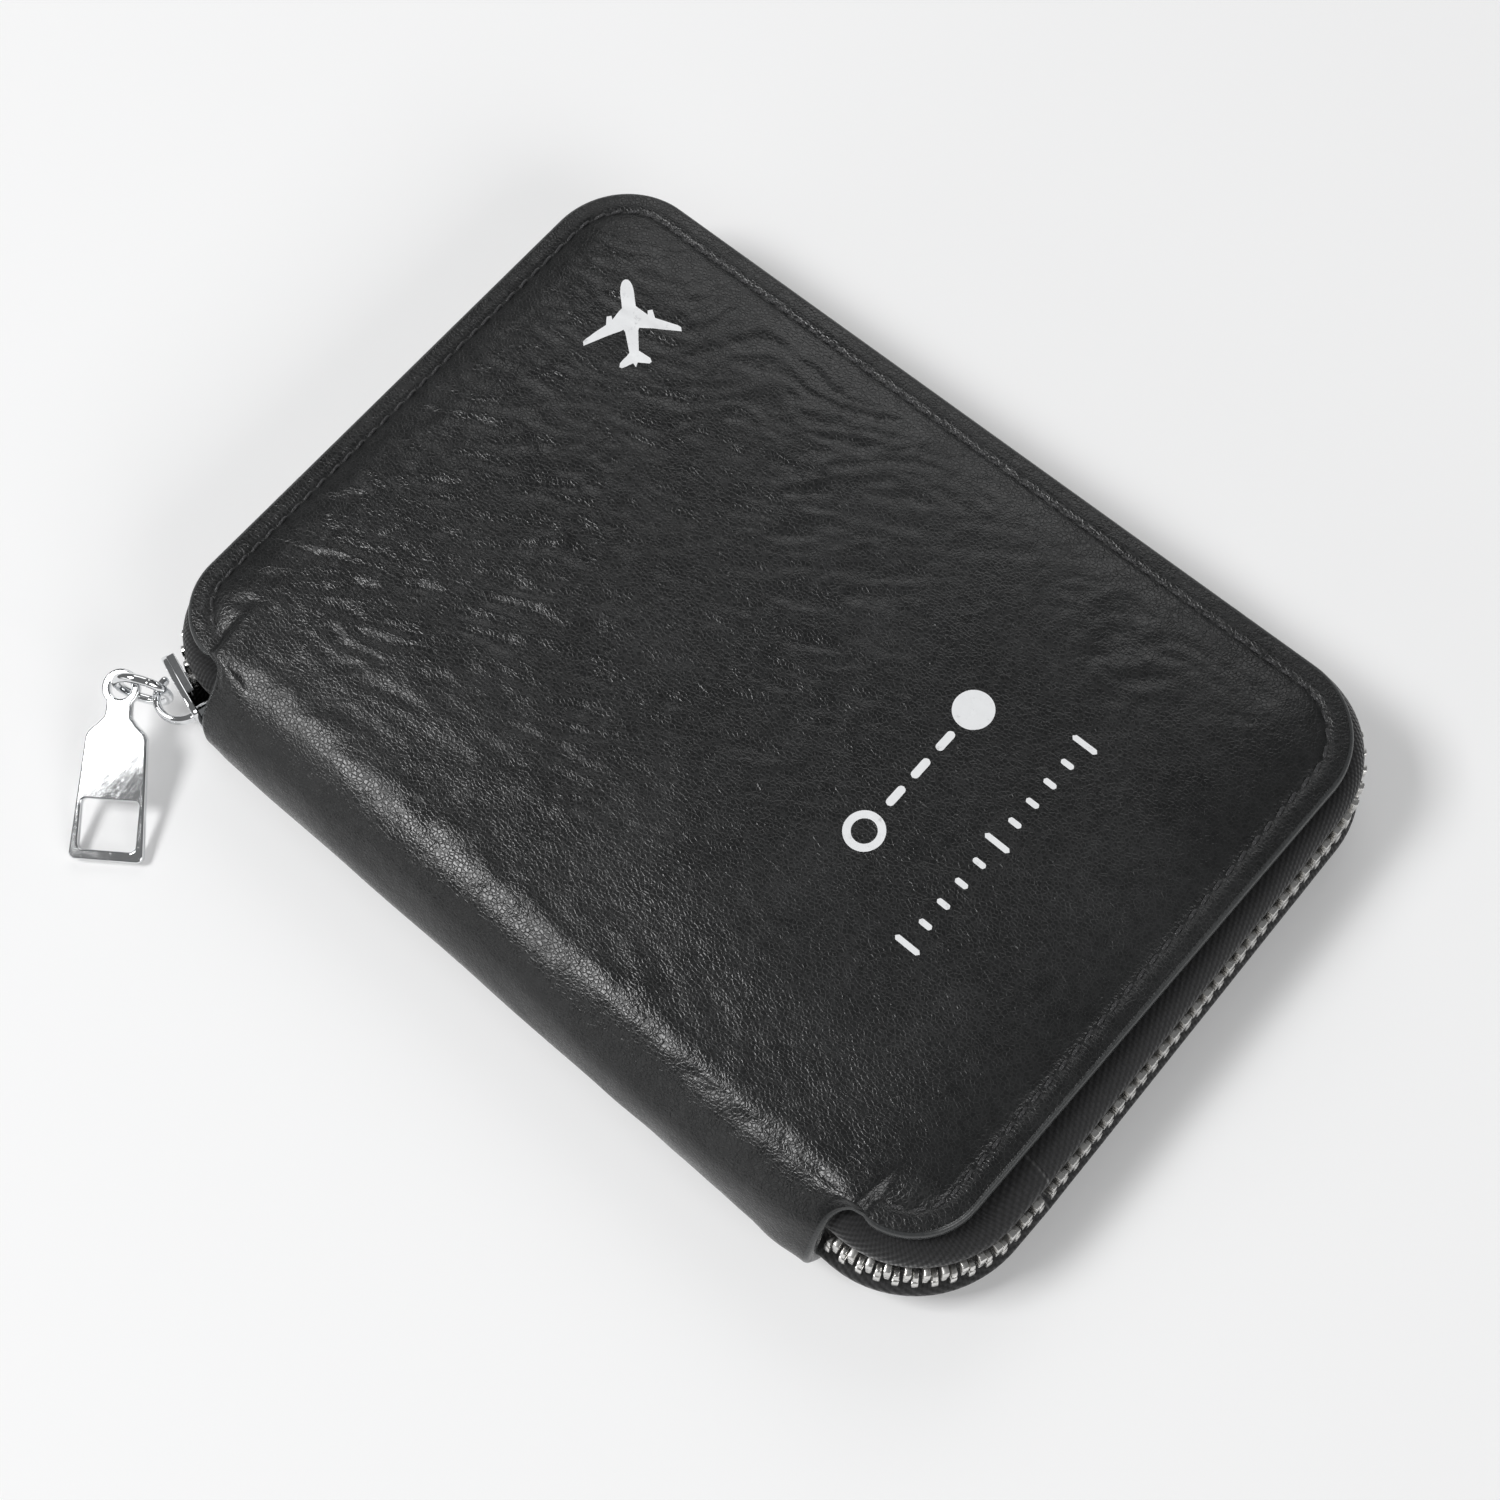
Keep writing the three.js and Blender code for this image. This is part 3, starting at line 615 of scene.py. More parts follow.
def arc_stations(ex, ey, er, lx, ly, lrx, lry, start, stop, n=24):
    """Stations round a corner: edge arc of radius er about ex, ey, and line arc of radii lrx, lry about lx, ly."""
    angles = np.radians(np.linspace(start, stop, n + 1))
    c, s = np.cos(angles), np.sin(angles)
    return [(ex + er * a, ey + er * b, lx + lrx * a, ly + lry * b, a, b) for a, b in zip(c, s)]


def end_run(radius, step=1.2):
    bottom = LINE_Y - SHIFT
    stations = [(x, -HALF_Y, x, bottom, 0, -1) for x in (TUCK_X, TURN_X - 0.5)]
    cx, cy = HALF_X - SEWN_NEAR, -HALF_Y + SEWN_NEAR
    stations += arc_stations(cx, cy, SEWN_NEAR, TURN_X, bottom + radius, radius, radius, -90, 0)
    line_x = TURN_X + radius
    stations.append((HALF_X, TAPE_END_Y - SHIFT, line_x, TAPE_END_Y - SHIFT, 1, 0))
    return run_of(stations, step)


def sewn_run(radius, step=1.2):
    line_x = TURN_X + radius
    cx, cy = HALF_X - SEWN_FAR, HALF_Y - SEWN_FAR
    stations = [(HALF_X, TAPE_END_Y - SHIFT, line_x, TAPE_END_Y - SHIFT, 1, 0)]
    far_x = TURN_X + SEWN_FAR + (radius - SEWN_FAR) * FAR_SHARE
    stations += arc_stations(cx, cy, SEWN_FAR, cx, cy, far_x - cx, SEWN_FAR + FAR_BULGE, 0, 90)
    return run_of(stations, step)


def mirror_run(run):
    out = run[::-1].copy()
    out[:, [0, 2, 4]] *= -1
    return out


main_run = np.concatenate([sewn_run(TURN["right"]), mirror_run(sewn_run(TURN["left"]))])
main_run = run_of(main_run, 1.2)
right_run = end_run(TURN["right"])
left_run = mirror_run(end_run(TURN["left"]))

# A tape's section: share of the way from sewn edge to teeth, distance outwards, and depth below its cover's face.
UPPER_SECTION = [(0, -5.0, 3.95), (0, -1.0, 3.95), (0.1, 0.2, 4.05), (0.42, 0.55, 4.7), (0.75, 0.6, 5.8)]
UPPER_SECTION += [(0.95, 0.25, 6.8), (1, -0.15, 7.6), (1, -0.6, 8.4), (1, -0.85, 9.3), (1, -0.9, 10.38)]
LOWER_SECTION = [(0, -5.0, 3.95), (0, -1.0, 3.95), (0.1, 0.3, 4.0), (0.5, 1.1, 4.4), (0.85, 1.5, 5.2)]
LOWER_SECTION += [(1, 1.35, 6.2), (1, 0.75, 7.1), (1, 0.05, 7.8), (1, -0.65, 8.5), (1, -0.85, 9.3)]
LOWER_SECTION += [(1, -0.9, 10.38)]


def travelled(points):
    """Distance along a line of points, at each of them."""
    return np.concatenate([[0], np.cumsum(np.linalg.norm(np.diff(points, axis=0), axis=1))])


def catmull(points, per=4):
    """A smooth curve through points, in four steps from each to the next."""
    p = np.array(points, float)
    p = np.concatenate([p[:1] * 2 - p[1:2], p, p[-1:] * 2 - p[-2:-1]])
    out = []
    for i in range(1, len(p) - 2):
        for t in np.linspace(0, 1, per, endpoint=False):
            a, b, c, d = p[i - 1 : i + 3]
            square, cube = 2 * a - 5 * b + 4 * c - d, 3 * b - a - 3 * c + d
            out.append(0.5 * ((2 * b) + (c - a) * t + square * t**2 + cube * t**3))
    out.append(p[-2])
    return np.array(out)


def tape_mesh(name, run, upper, spread=None):
    """A woven tape from under the cover's edge out to the teeth: a thin closed sheet, mapped in millimetres."""
    section = catmull(UPPER_SECTION if upper else LOWER_SECTION)
    sn = len(section)
    out_line = section[:, 1] + section[:, 0] * 4
    turn = np.gradient(out_line), np.gradient(section[:, 2])
    length = np.hypot(*turn) + 1e-9
    normal_out, normal_z = turn[1] / length, -turn[0] / length
    vertices, uv = [], []
    along = travelled(run[:, 2:4])
    across = travelled(np.column_stack([out_line, section[:, 2]]))
    wavy = 0.16 * fine(along / 9, along * 0 + (5 if upper else 9))
    for i, (ex, ey, lx, ly, ox, oy) in enumerate(run):
        drop = spread(lx) if spread else 0
        for layer in (0, 1):
            for k in range(sn):
                share, out, z = section[k]
                out = out - layer * TAPE_THICK * normal_out[k] + wavy[i] * share * (1 - share) * 4
                z = z - layer * TAPE_THICK * normal_z[k] - (drop if z > 9 else 0)
                x = ex * (1 - share) + lx * share + ox * out
                y = ey * (1 - share) + ly * share + oy * out
                z = HEIGHT - z if upper else z
                vertices.append((x, y + LEAN * z / HEIGHT, z))
                uv.append((along[i], across[k]))
    faces = []
    ring = list(range(sn)) + list(range(2 * sn - 1, sn - 1, -1))
    m = len(ring)
    for i in range(len(run) - 1):
        for a in range(m):
            p, q = ring[a] + i * 2 * sn, ring[(a + 1) % m] + i * 2 * sn
            faces.append((p, q, q + 2 * sn, p + 2 * sn))
    for k in range(sn - 1):
        faces.append((k, k + sn, k + 1 + sn, k + 1))
        base = (len(run) - 1) * 2 * sn
        faces.append((base + k, base + k + 1, base + k + 1 + sn, base + k + sn))
    obj = new_object(name, vertices, faces if upper else [f[::-1] for f in faces])
    layer = obj.data.uv_layers.new(name="weave")
    loops = np.zeros(len(obj.data.loops), int)
    obj.data.loops.foreach_get("vertex_index", loops)
    layer.data.foreach_set("uv", np.array(uv)[loops].ravel().astype(np.float32))
    return obj


def woven_material(name, dark, light):
    g = Look(name, dark, 0.78, Sheen_Weight=0.35, Sheen_Roughness=0.45)
    uv = g.tree.nodes.new("ShaderNodeUVMap").outputs["UV"]

    def mapped(scale, turn=0.0):
        node = g.tree.nodes.new("ShaderNodeMapping")
        node.inputs["Scale"].default_value = (scale, scale, 1)
        node.inputs["Rotation"].default_value = (0, 0, turn)
        g.link(uv, node.inputs["Vector"])
        return node.outputs["Vector"]

    ribs = g.wave(1.0, "X", mapped(0.464), 0.15)
    twill = g.wave(1.0, "Y", mapped(0.352, 0.55), 0.15)
    threads = g.noise(3.2, 3, vector=mapped(1))
    height = g.add(g.times(ribs, 0.6), g.add(g.times(twill, 0.5), g.times(threads, 0.5)))
    tone = g.times(g.add(ribs, twill), g.noise(1.1, 4, vector=mapped(1)))
    g.shade(
        Normal=g.bump(height, 0.00012),
        Base_Color=g.mix(g.spread(tone, 0.2, 1.1, 0, 1), dark, light),
        Roughness=g.spread(threads, 0.3, 0.7, 0.7, 0.9),
    )
    return g.material


tape_cloth = woven_material("woven_zip_tape", (0.003, 0.003, 0.0033), (0.016, 0.016, 0.0175))
spread_end = -TURN_X - TURN["left"] * math.sin(SLIDER_TURN) - 3
apart = lambda x: 1.5 * smooth((x - spread_end) / 2.5)  # the tapes part again behind the slider
hinge_rows = {
    "upper": (hinge_front, "front_cover", "spine_upper"),
    "lower": (hinge_back, "back_cover", "spine_lower"),
}
for level, (hinge, cover, spine) in hinge_rows.items():
    upper = level == "upper"
    tape = tape_mesh(f"{level}_zip_tape", main_run, upper)
    dress(tape, tape_cloth)
    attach(tape, cover)
    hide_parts(f"{level}_tape")
    for side, run, spread in (("right", right_run, None), ("left", left_run, apart)):
        end = tape_mesh(f"{side}_{level}_zip_tape_end", run, upper, spread)
        dress(end, tape_cloth)
        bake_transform(end)
        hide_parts(f"{side}_{level}_tape_end")

# ---------------------------------------------------------------- metal


def metal_material(name, base, roughness, scratch):
    g = Look(name, base, roughness, metallic=1.0)
    hair = g.noise(900, 3, vector=g.scaled((1, 0.12, 0.3), (0.3, 0.2, 0.7)))
    smears = g.spread(g.noise(260, 5, 0.65), 0.42, 0.62, 0, 1)
    specks = g.spread(g.voronoi(700), 0.10, 0.22, 1, 0)
    marks = g.add(g.times(smears, 0.5), g.times(specks, 0.5))
    dull = tuple(c * 0.78 for c in base)
    g.shade(
        Roughness=g.spread(g.add(g.times(hair, 0.3), marks), 0.1, 1.0, roughness, roughness + 0.16 * scratch),
        Base_Color=g.mix(g.spread(marks, 0.0, 1.0, 0, 1), base, dull),
        Normal=g.bump(g.add(hair, g.times(smears, 0.5)), 0.000007 * scratch),
    )
    return g.material


chrome = metal_material("polished_chrome", (0.80, 0.81, 0.82), 0.045, 0.5)
nickel = metal_material("nickel_teeth", (0.78, 0.77, 0.75), 0.20, 1.4)


def block(x, y, z, bevel, segments=2):
    """Vertices and faces of a bevelled block between the given limits."""
    bm = bmesh.new()
    bmesh.ops.create_cube(bm, size=1)
    for v in bm.verts:
        v.co = Vector([limits[0] if c < 0 else limits[1] for c, limits in zip(v.co, (x, y, z))])
    bmesh.ops.bevel(bm, geom=bm.edges[:], offset=bevel, segments=segments, profile=0.5, affect="EDGES")
    bm.verts.ensure_lookup_table()
    data = np.array([v.co[:] for v in bm.verts]), [[v.index for v in f.verts] for f in bm.faces]
    bm.free()
    return data


# One tooth: legs clamped on the tape's cord, a waist, and a head that reaches between the other row's teeth.
TOOTH_PARTS = [
    block((-0.50, 0.50), (-1.2, 0.95), (-2.45, -0.70), 0.17),
    block((-0.42, 0.42), (-0.9, 0.80), (-0.95, 0.50), 0.13),
    block((-0.38, 0.38), (-0.6, 0.78), (0.20, 0.98), 0.16),
]


def tooth_row(name, run, start, stop, upper):
    """Teeth along a run of the track, each a little off its place and its angle, as on a real zip."""
    line = run[:, 2:4]
    dist = travelled(line)
    first = start + (PITCH / 2 if upper else 0) + 0.5
    places = np.arange(first, min(stop, dist[-1]) - 0.6, PITCH)
    vertices, faces = [], []
    flip = -1 if upper else 1
    for s in places:
        s = s + rng.normal(0, 0.03)
        p = np.array([np.interp(s, dist, line[:, 0]), np.interp(s, dist, line[:, 1])])
        q = np.array([np.interp(s + 0.6, dist, line[:, 0]), np.interp(s + 0.6, dist, line[:, 1])])
        t = (q - p) / np.linalg.norm(q - p)
        out = np.array([t[1], -t[0]])
        tilt = rng.normal(0, 0.02)
        for v, f in TOOTH_PARTS:
            base = len(vertices)
            for x, y, z in v:
                x = x + tilt * z
                at = p + t * x + out * y
                zz = MID + flip * z
                vertices.append((at[0], at[1] + LEAN * zz / HEIGHT, zz))
            faces += [[base + k for k in (c if not upper else c[::-1])] for c in f]
    obj = new_object(name, vertices, faces, smooth_faces=False)
    obj.data.set_sharp_from_angle(angle=math.radians(40))
    dress(obj, nickel)
    return obj


main_length, right_length, left_length = (travelled(run[:, 2:4])[-1] for run in (main_run, right_run, left_run))
slider_at = left_length - (TURN_X - TUCK_X) - TURN["left"] * SLIDER_TURN
END_TEETH = (("right", right_run, 5.4, right_length - 0.3), ("left", left_run, 0.3, slider_at + 1))
for level, (hinge, cover, spine) in hinge_rows.items():
    upper = level == "upper"
    row = tooth_row(f"{level}_zip_teeth", main_run, 0.3, main_length - 0.3, upper)
    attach(row, cover)
    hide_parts(f"{level}_teeth")
    for side, run, a, b in END_TEETH:
        row = tooth_row(f"{side}_{level}_zip_end_teeth", run, a, b, upper)
        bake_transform(row)
        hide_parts(f"{side}_{level}_end_teeth")

# ---------------------------------------------------------------- slider, bridge, ring and pull


def plate_from(name, outline, holes, thickness, bevel, matrix):
    """A plate with round edges, cut out of a flat outline with holes, placed by a matrix in millimetres."""
    curve = bpy.data.curves.new(name, "CURVE")
    curve.dimensions = "2D"
    curve.fill_mode = "BOTH"
    curve.extrude = thickness / 2 - bevel
    curve.bevel_depth = bevel
    curve.bevel_resolution = 3
    curve.offset = -bevel
    for points in [outline, *holes]:
        spline = curve.splines.new("POLY")
        spline.points.add(len(points) - 1)
        spline.use_cyclic_u = True
        for sp, (x, y) in zip(spline.points, points):
            sp.co = (x, y, 0, 1)
    temp = linked(name, curve)
    bpy.context.view_layer.update()
    mesh = bpy.data.meshes.new_from_object(temp.evaluated_get(bpy.context.evaluated_depsgraph_get()))
    bpy.data.objects.remove(temp)
    bm = bmesh.new()
    bm.from_mesh(mesh)
    bmesh.ops.remove_doubles(bm, verts=bm.verts[:], dist=1e-4)
    bmesh.ops.recalc_face_normals(bm, faces=bm.faces[:])
    bm.to_mesh(mesh)
    bm.free()
    mesh.transform(Matrix.Scale(MM, 4) @ matrix)
    mesh.name = name
    obj = linked(name, mesh)
    mesh.shade_smooth()
    mesh.set_sharp_from_angle(angle=math.radians(38))
    face_up = (matrix.to_3x3() @ Vector((0, 0, 1))).normalized()
    for polygon in mesh.polygons:
        polygon.use_smooth = abs(polygon.normal.dot(face_up)) < 0.999
    return obj


def arc_xy(cx, cy, r, start, stop, n=10):
    return [(cx + r * math.cos(t), cy + r * math.sin(t)) for t in np.linspace(start, stop, n)]


def rounded_box(x0, x1, y0, y1, r, n=6, far=None):
    """A rectangle with round corners of radius r, or of radius far at its y1 side."""
    h, f = math.pi / 2, far or r
    return (arc_xy(x1 - r, y0 + r, r, -h, 0, n) + arc_xy(x1 - f, y1 - f, f, 0, h, n)
            + arc_xy(x0 + f, y1 - f, f, h, 2 * h, n) + arc_xy(x0 + r, y0 + r, r, 2 * h, 3 * h, n))


def joined(name, pieces):
    """One object made of several, which go."""
    bm = bmesh.new()
    for p in pieces:
        bm.from_mesh(p.data)
        bpy.data.objects.remove(p)
    mesh = bpy.data.meshes.new(name)
    bm.to_mesh(mesh)
    bm.free()
    return linked(name, mesh)


def tube(name, points, radius, flat=1.0, sides=12):
    """A tube along points, with round ends; flat stretches its section along the points' own plane normal."""
    p = np.array(points, float)
    n = len(p)
    t = np.roll(p, -1, 0) - np.roll(p, 1, 0)
    t[0], t[-1] = p[1] - p[0], p[-1] - p[-2]
    t /= np.linalg.norm(t, axis=1)[:, None]
    plane = np.cross(t[0], t[n // 3])
    plane /= np.linalg.norm(plane)
    u = np.cross(plane, t)
    u /= np.linalg.norm(u, axis=1)[:, None]
    rings, radii = list(p), [radius] * n
    frames = [(a, b) for a, b in zip(u, [plane] * n)]
    for angle in (0.35, 0.7, 1.05, 1.4):
        out, r = radius * math.sin(angle), radius * math.cos(angle)
        rings = [p[0] - t[0] * out] + rings + [p[-1] + t[-1] * out]
        radii = [r] + radii + [r]
        frames = [frames[0]] + frames + [frames[-1]]
    vertices = []
    for c, r, (a, b) in zip(rings, radii, frames):
        for k in range(sides):
            w = 2 * math.pi * k / sides
            vertices.append(c + r * (math.cos(w) * a + flat * math.sin(w) * b))
    m = len(rings)
    faces = [*grid_faces(m, sides, round_columns=True)]
    faces += [range(sides), range((m - 1) * sides, m * sides)[::-1]]
    return new_object(name, vertices, faces)


out_x, out_y = -math.sin(SLIDER_TURN), -math.cos(SLIDER_TURN)
slider_at_turn = (-TURN_X + TURN["left"] * out_x, LINE_Y + TURN["left"] * (1 + out_y), MID)
slider_place = Matrix.Translation(slider_at_turn) @ Matrix.Rotation(math.pi - SLIDER_TURN, 4, "Z")
stand_up = Matrix.Rotation(math.pi / 2, 4, "X")  # a plate drawn in XY then stands in the slider's XZ plane
WING_HALF, TAIL_HALF = 4.9, 3.9  # half widths of a wing, at its shoulders and behind
WING_SIDE = [(-6.2, 1.6 - WING_HALF), (-5.9, 0.8 - WING_HALF), (-5.2, 0.2 - WING_HALF), (-4.0, -WING_HALF)]
WING_SIDE += [(0.0, 0.25 - WING_HALF), (3.6, -TAIL_HALF), (5.3, 0.5 - TAIL_HALF), (6.2, 1.5 - TAIL_HALF)]
RIM_SIDE = [(-2.2, 4.75), (1.5, 4.35), (5.2, 3.75), (5.2, 3.15), (1.5, 3.75), (-2.2, 4.15)]


def mirrored(half):
    """A closed outline from its half at -y."""
    return half + [(x, -y) for x, y in reversed(half)]


def slider_plate(name, outline, thickness, bevel, y):
    """A plate of the slider, drawn along the zip and across it, whose middle is at y in the slider's depth."""
    return plate_from(name, outline, [], thickness, bevel, slider_place @ Matrix.Translation((0, y, 0)) @ stand_up)


wings = [slider_plate("wing", mirrored(WING_SIDE), 1.1, 0.28, y) for y in (2.15, -4.4)]
post = slider_plate("post", rounded_box(-5.4, -2.9, -1.2, 1.2, 0.9), 6.6, 0.1, -1.05)
rims = [slider_plate("rim", [(x, -y) for x, y in RIM_SIDE], 1.3, 0.12, 1.2)]
rims.append(slider_plate("rim", RIM_SIDE[::-1], 1.3, 0.12, 1.2))
slider = joined("zip_slider_body", [*wings, post, *rims])

BRIDGE_Y, BRIDGE_R, BRIDGE_OPEN = 3.0, 3.95, 0.28  # its open tail end lets the ring on
to_world = lambda matrix, points: [tuple(matrix @ Vector(p)) for p in points]
hoop_angles = np.linspace(BRIDGE_OPEN, math.pi, 26)
hoop = [(BRIDGE_R * math.cos(a), BRIDGE_Y - 0.15 + BRIDGE_R * math.sin(a), 0) for a in hoop_angles]
bridge = tube("zip_slider_bridge", to_world(slider_place, hoop), 0.62, flat=1.7)

RING_R, RING_WIRE, RING_TURN = 4.1, 0.75, math.radians(45)
reach = 3.3 - RING_WIRE - 0.3 + RING_R  # from the bridge's centre to the ring's, against the bridge's inner face
ring_centre = (math.sin(RING_TURN) * reach, BRIDGE_Y + math.cos(RING_TURN) * reach, 0)
ring_place = slider_place @ Matrix.Translation(ring_centre) @ Matrix.Rotation(math.pi / 2 - RING_TURN, 4, "Z")
gap_at = math.radians(118)
ring_angles = np.linspace(gap_at + 0.05, gap_at + 2 * math.pi - 0.05, 64)
ring_points = [(RING_R * math.cos(a), 0, RING_R * math.sin(a)) for a in ring_angles]
ring = tube("jump_ring", to_world(ring_place, ring_points), RING_WIRE, sides=16)

PULL_LENGTH, END_HALF = 26.5, 5.9
EYE_DROP, PULL_HEADING = math.radians(19), math.radians(-54.5)
eye = ring_place @ Vector((RING_R * math.cos(EYE_DROP), 0, -RING_R * math.sin(EYE_DROP)))
tilt = math.asin((eye.z - 0.9) / PULL_LENGTH)  # its far end rests on the table
pull_turn = Matrix.Rotation(PULL_HEADING, 4, "Z") @ Matrix.Rotation(tilt, 4, "Y")
pull_place = Matrix.Translation(eye) @ pull_turn
half = [(3.3, -2.05), (4.5, -2.15), (5.6, -3.1), (6.7, -4.35), (7.6, -4.85), (PULL_LENGTH - 1.0, -END_HALF)]
half += arc_xy(PULL_LENGTH - 1.0, 1.0 - END_HALF, 1.0, -math.pi / 2, 0, 6)[1:]
outline = arc_xy(0, 0, 3.0, 0.75, 2 * math.pi - 0.75, 22) + mirrored(half)
eye_hole = arc_xy(0, 0, 1.7, 2 * math.pi, 0.0, 25)[:-1]
window = rounded_box(PULL_LENGTH - 9.3, PULL_LENGTH - 1.6, -4.6, 4.6, 0.9)[::-1]
pull = plate_from("zip_pull_plate", outline, [eye_hole, window], 1.4, 0.32, pull_place)
metal_pieces = [(slider, "zip_slider", "slider_body"), (bridge, "zip_slider", "slider_bridge")]
metal_pieces += [(ring, "ring", "pull_ring"), (pull, "pull", "pull_plate")]
for piece, body, node in metal_pieces:
    dress(piece, chrome)
    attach(piece, body)
    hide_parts(node)

# ---------------------------------------------------------------- stitching


def surface_of(obj, side):
    """A function that gives the height of an object's top (side 1) or underside (side -1) at x, y."""
    points = [v.co / MM for v in obj.data.vertices]
    tree = BVHTree.FromPolygons(points, [tuple(p.vertices) for p in obj.data.polygons])
    beside = front_height if side > 0 else back_height

    def height(x, y):
        hit = tree.ray_cast(Vector((x, y, side * 60)), Vector((0, 0, -side)))[0]
        return hit.z if hit else beside(np.array(x), np.array(y))

    return height


front_surface, back_surface = surface_of(front_skin, 1), surface_of(back_skin, -1)


PATH_STEP = 0.25


def even_steps(points):
    """Points every PATH_STEP along a line."""
    pts = np.array(points)
    dist = travelled(pts)
    s = np.arange(0, dist[-1], PATH_STEP)
    return np.stack([np.interp(s, dist, pts[:, 0]), np.interp(s, dist, pts[:, 1])], -1)


def outline_path(inset):
    """Points along a cover's open sides, from left flap to right flap, inset from its grid's edge."""
    x, y = PANEL_X - inset, PANEL_Y - inset
    near, far = NEAR_RADIUS - inset, FAR_RADIUS - inset
    pts = [(-FLARE_X + 0.2, -y), (-x + near, -y)]
    pts += arc_xy(-x + near, -y + near, near, 1.5 * math.pi, math.pi, 24)
    pts += arc_xy(-x + far, y - far, far, math.pi, math.pi / 2, 24)
    pts += arc_xy(x - far, y - far, far, math.pi / 2, 0, 24)
    pts += arc_xy(x - near, -y + near, near, 0, -math.pi / 2, 24)
    pts += [(FLARE_X - 0.2, -y)]
    return even_steps(pts)


def stitches(name, path, height, side, length=2.15, pitch=2.8, radius=0.26):
    """Thread in short stitches along an even path, half sunk in the surface whose height is given."""
    vertices, faces = [], []
    sides = 8
    stations = np.linspace(-1, 1, 9)
    tube_faces = grid_faces(len(stations), sides, round_columns=True)
    ends = np.array([range(sides), range(8 * sides, 9 * sides)[::-1]])
    if side > 0:
        tube_faces, ends = tube_faces[:, [0, 3, 2, 1]], ends[:, ::-1]
    count = int((len(path) - 1) * PATH_STEP / pitch)
    for n in range(count):
        i = int((n + 0.5) * pitch / PATH_STEP)
        if i + 2 >= len(path):
            break
        c = path[i]
        t = path[i + 1] - path[i - 1]
        t /= np.linalg.norm(t)
        angle = math.radians(7) + rng.normal(0, 0.03)
        c_turn, s_turn = math.cos(angle), math.sin(angle)
        t = np.array([t[0] * c_turn - t[1] * s_turn, t[0] * s_turn + t[1] * c_turn])
        w = np.array([-t[1], t[0]])
        base = len(vertices)
        for e in stations:
            p = c + t * e * length / 2
            z0 = float(height(p[0], p[1]))
            r = radius * (0.55 + 0.45 * math.sqrt(max(0, 1 - e**4)))
            lift = 0.10 - 0.42 * e**4
            twist = 1 + 0.10 * math.cos(e * 16 + n)
            for k in range(sides):
                a = 2 * math.pi * k / sides
                q = p + w * r * twist * math.cos(a)
                vertices.append((q[0], q[1], z0 + side * (lift + r * math.sin(a))))
        faces += [*(tube_faces + base), *(ends + base)]
    return new_object(name, vertices, faces)


g = Look("black_thread", (0.010, 0.010, 0.011), 0.34, Sheen_Weight=0.3)
g.shade(
    Normal=g.bump(g.wave(900, "DIAGONAL", distortion=0.5), 0.00006),
    Base_Color=g.mix(g.noise(700, 3), (0.011, 0.011, 0.012), (0.040, 0.040, 0.042)),
)
thread = g.material
for level, height, shift, side in (("front", front_surface, LEAN, 1), ("back", back_surface, 0, -1)):
    row = stitches(f"{level}_stitching", outline_path(STITCH_IN) + (0, shift), height, side)
    dress(row, thread)
    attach(row, f"{level}_cover")

# ---------------------------------------------------------------- printed motif

PRINT_LIFT = 0.06


def print_piece(name, points, triangles):
    """Ink laid on the front cover's leather."""
    p = np.array(points, float)
    z = np.array([front_surface(x, y) for x, y in p]) + PRINT_LIFT
    return new_object(name, np.column_stack([p, z]), triangles)


def print_strip(centre, direction, length, width, n=24, m=7):
    """A dash with round ends."""
    d = np.array(direction) / np.linalg.norm(direction)
    w = np.array([-d[1], d[0]])
    pts = []
    r = width / 2
    for e in np.linspace(-length / 2, length / 2, n):
        into = max(0, abs(e) - (length / 2 - r))
        half = math.sqrt(max(0.0004, r * r - into * into))
        for f in np.linspace(-1, 1, m):
            pts.append(np.array(centre) + d * e + w * half * f)
    return pts, grid_faces(n, m)


def print_ring(centre, outer, inner, n=48, m=4):
    pts = []
    for i in range(n):
        a = 2 * math.pi * i / n
        for r in np.linspace(inner, outer, m):
            pts.append((centre[0] + r * math.cos(a), centre[1] + r * math.sin(a)))
    return pts, grid_faces(n, m, round_rows=True)[:, [0, 3, 2, 1]]


def print_polygon(points, step=0.6):
    """Triangles that fill an outline, fine enough to follow the leather's relief."""
    outline = np.array(points, float)
    loop = []
    for a, b in zip(outline, np.roll(outline, -1, 0)):
        n = max(1, int(np.linalg.norm(b - a) / step))
        loop += [a + (b - a) * t for t in np.linspace(0, 1, n, endpoint=False)]
    loop = np.array(loop)
    low, high = loop.min(0), loop.max(0)
    gx, gy = np.meshgrid(np.arange(low[0], high[0], step), np.arange(low[1], high[1], step))
    grid = np.column_stack([gx.ravel(), gy.ravel()])
    inside = np.zeros(len(grid), bool)
    for a, b in zip(loop, np.roll(loop, -1, 0)):
        crosses = (a[1] > grid[:, 1]) != (b[1] > grid[:, 1])
        with np.errstate(divide="ignore", invalid="ignore"):
            x = a[0] + (grid[:, 1] - a[1]) * (b[0] - a[0]) / (b[1] - a[1])
        inside ^= crosses & (grid[:, 0] < x)
    away = np.min(np.linalg.norm(grid[:, None] - loop[None], axis=2), axis=1) > step * 0.4
    every = [Vector(p) for p in np.concatenate([loop, grid[inside & away]])]
    found = delaunay_2d_cdt(every, [], [list(range(len(loop)))], 1, 1e-6)
    return [tuple(v) for v in found[0]], found[2]


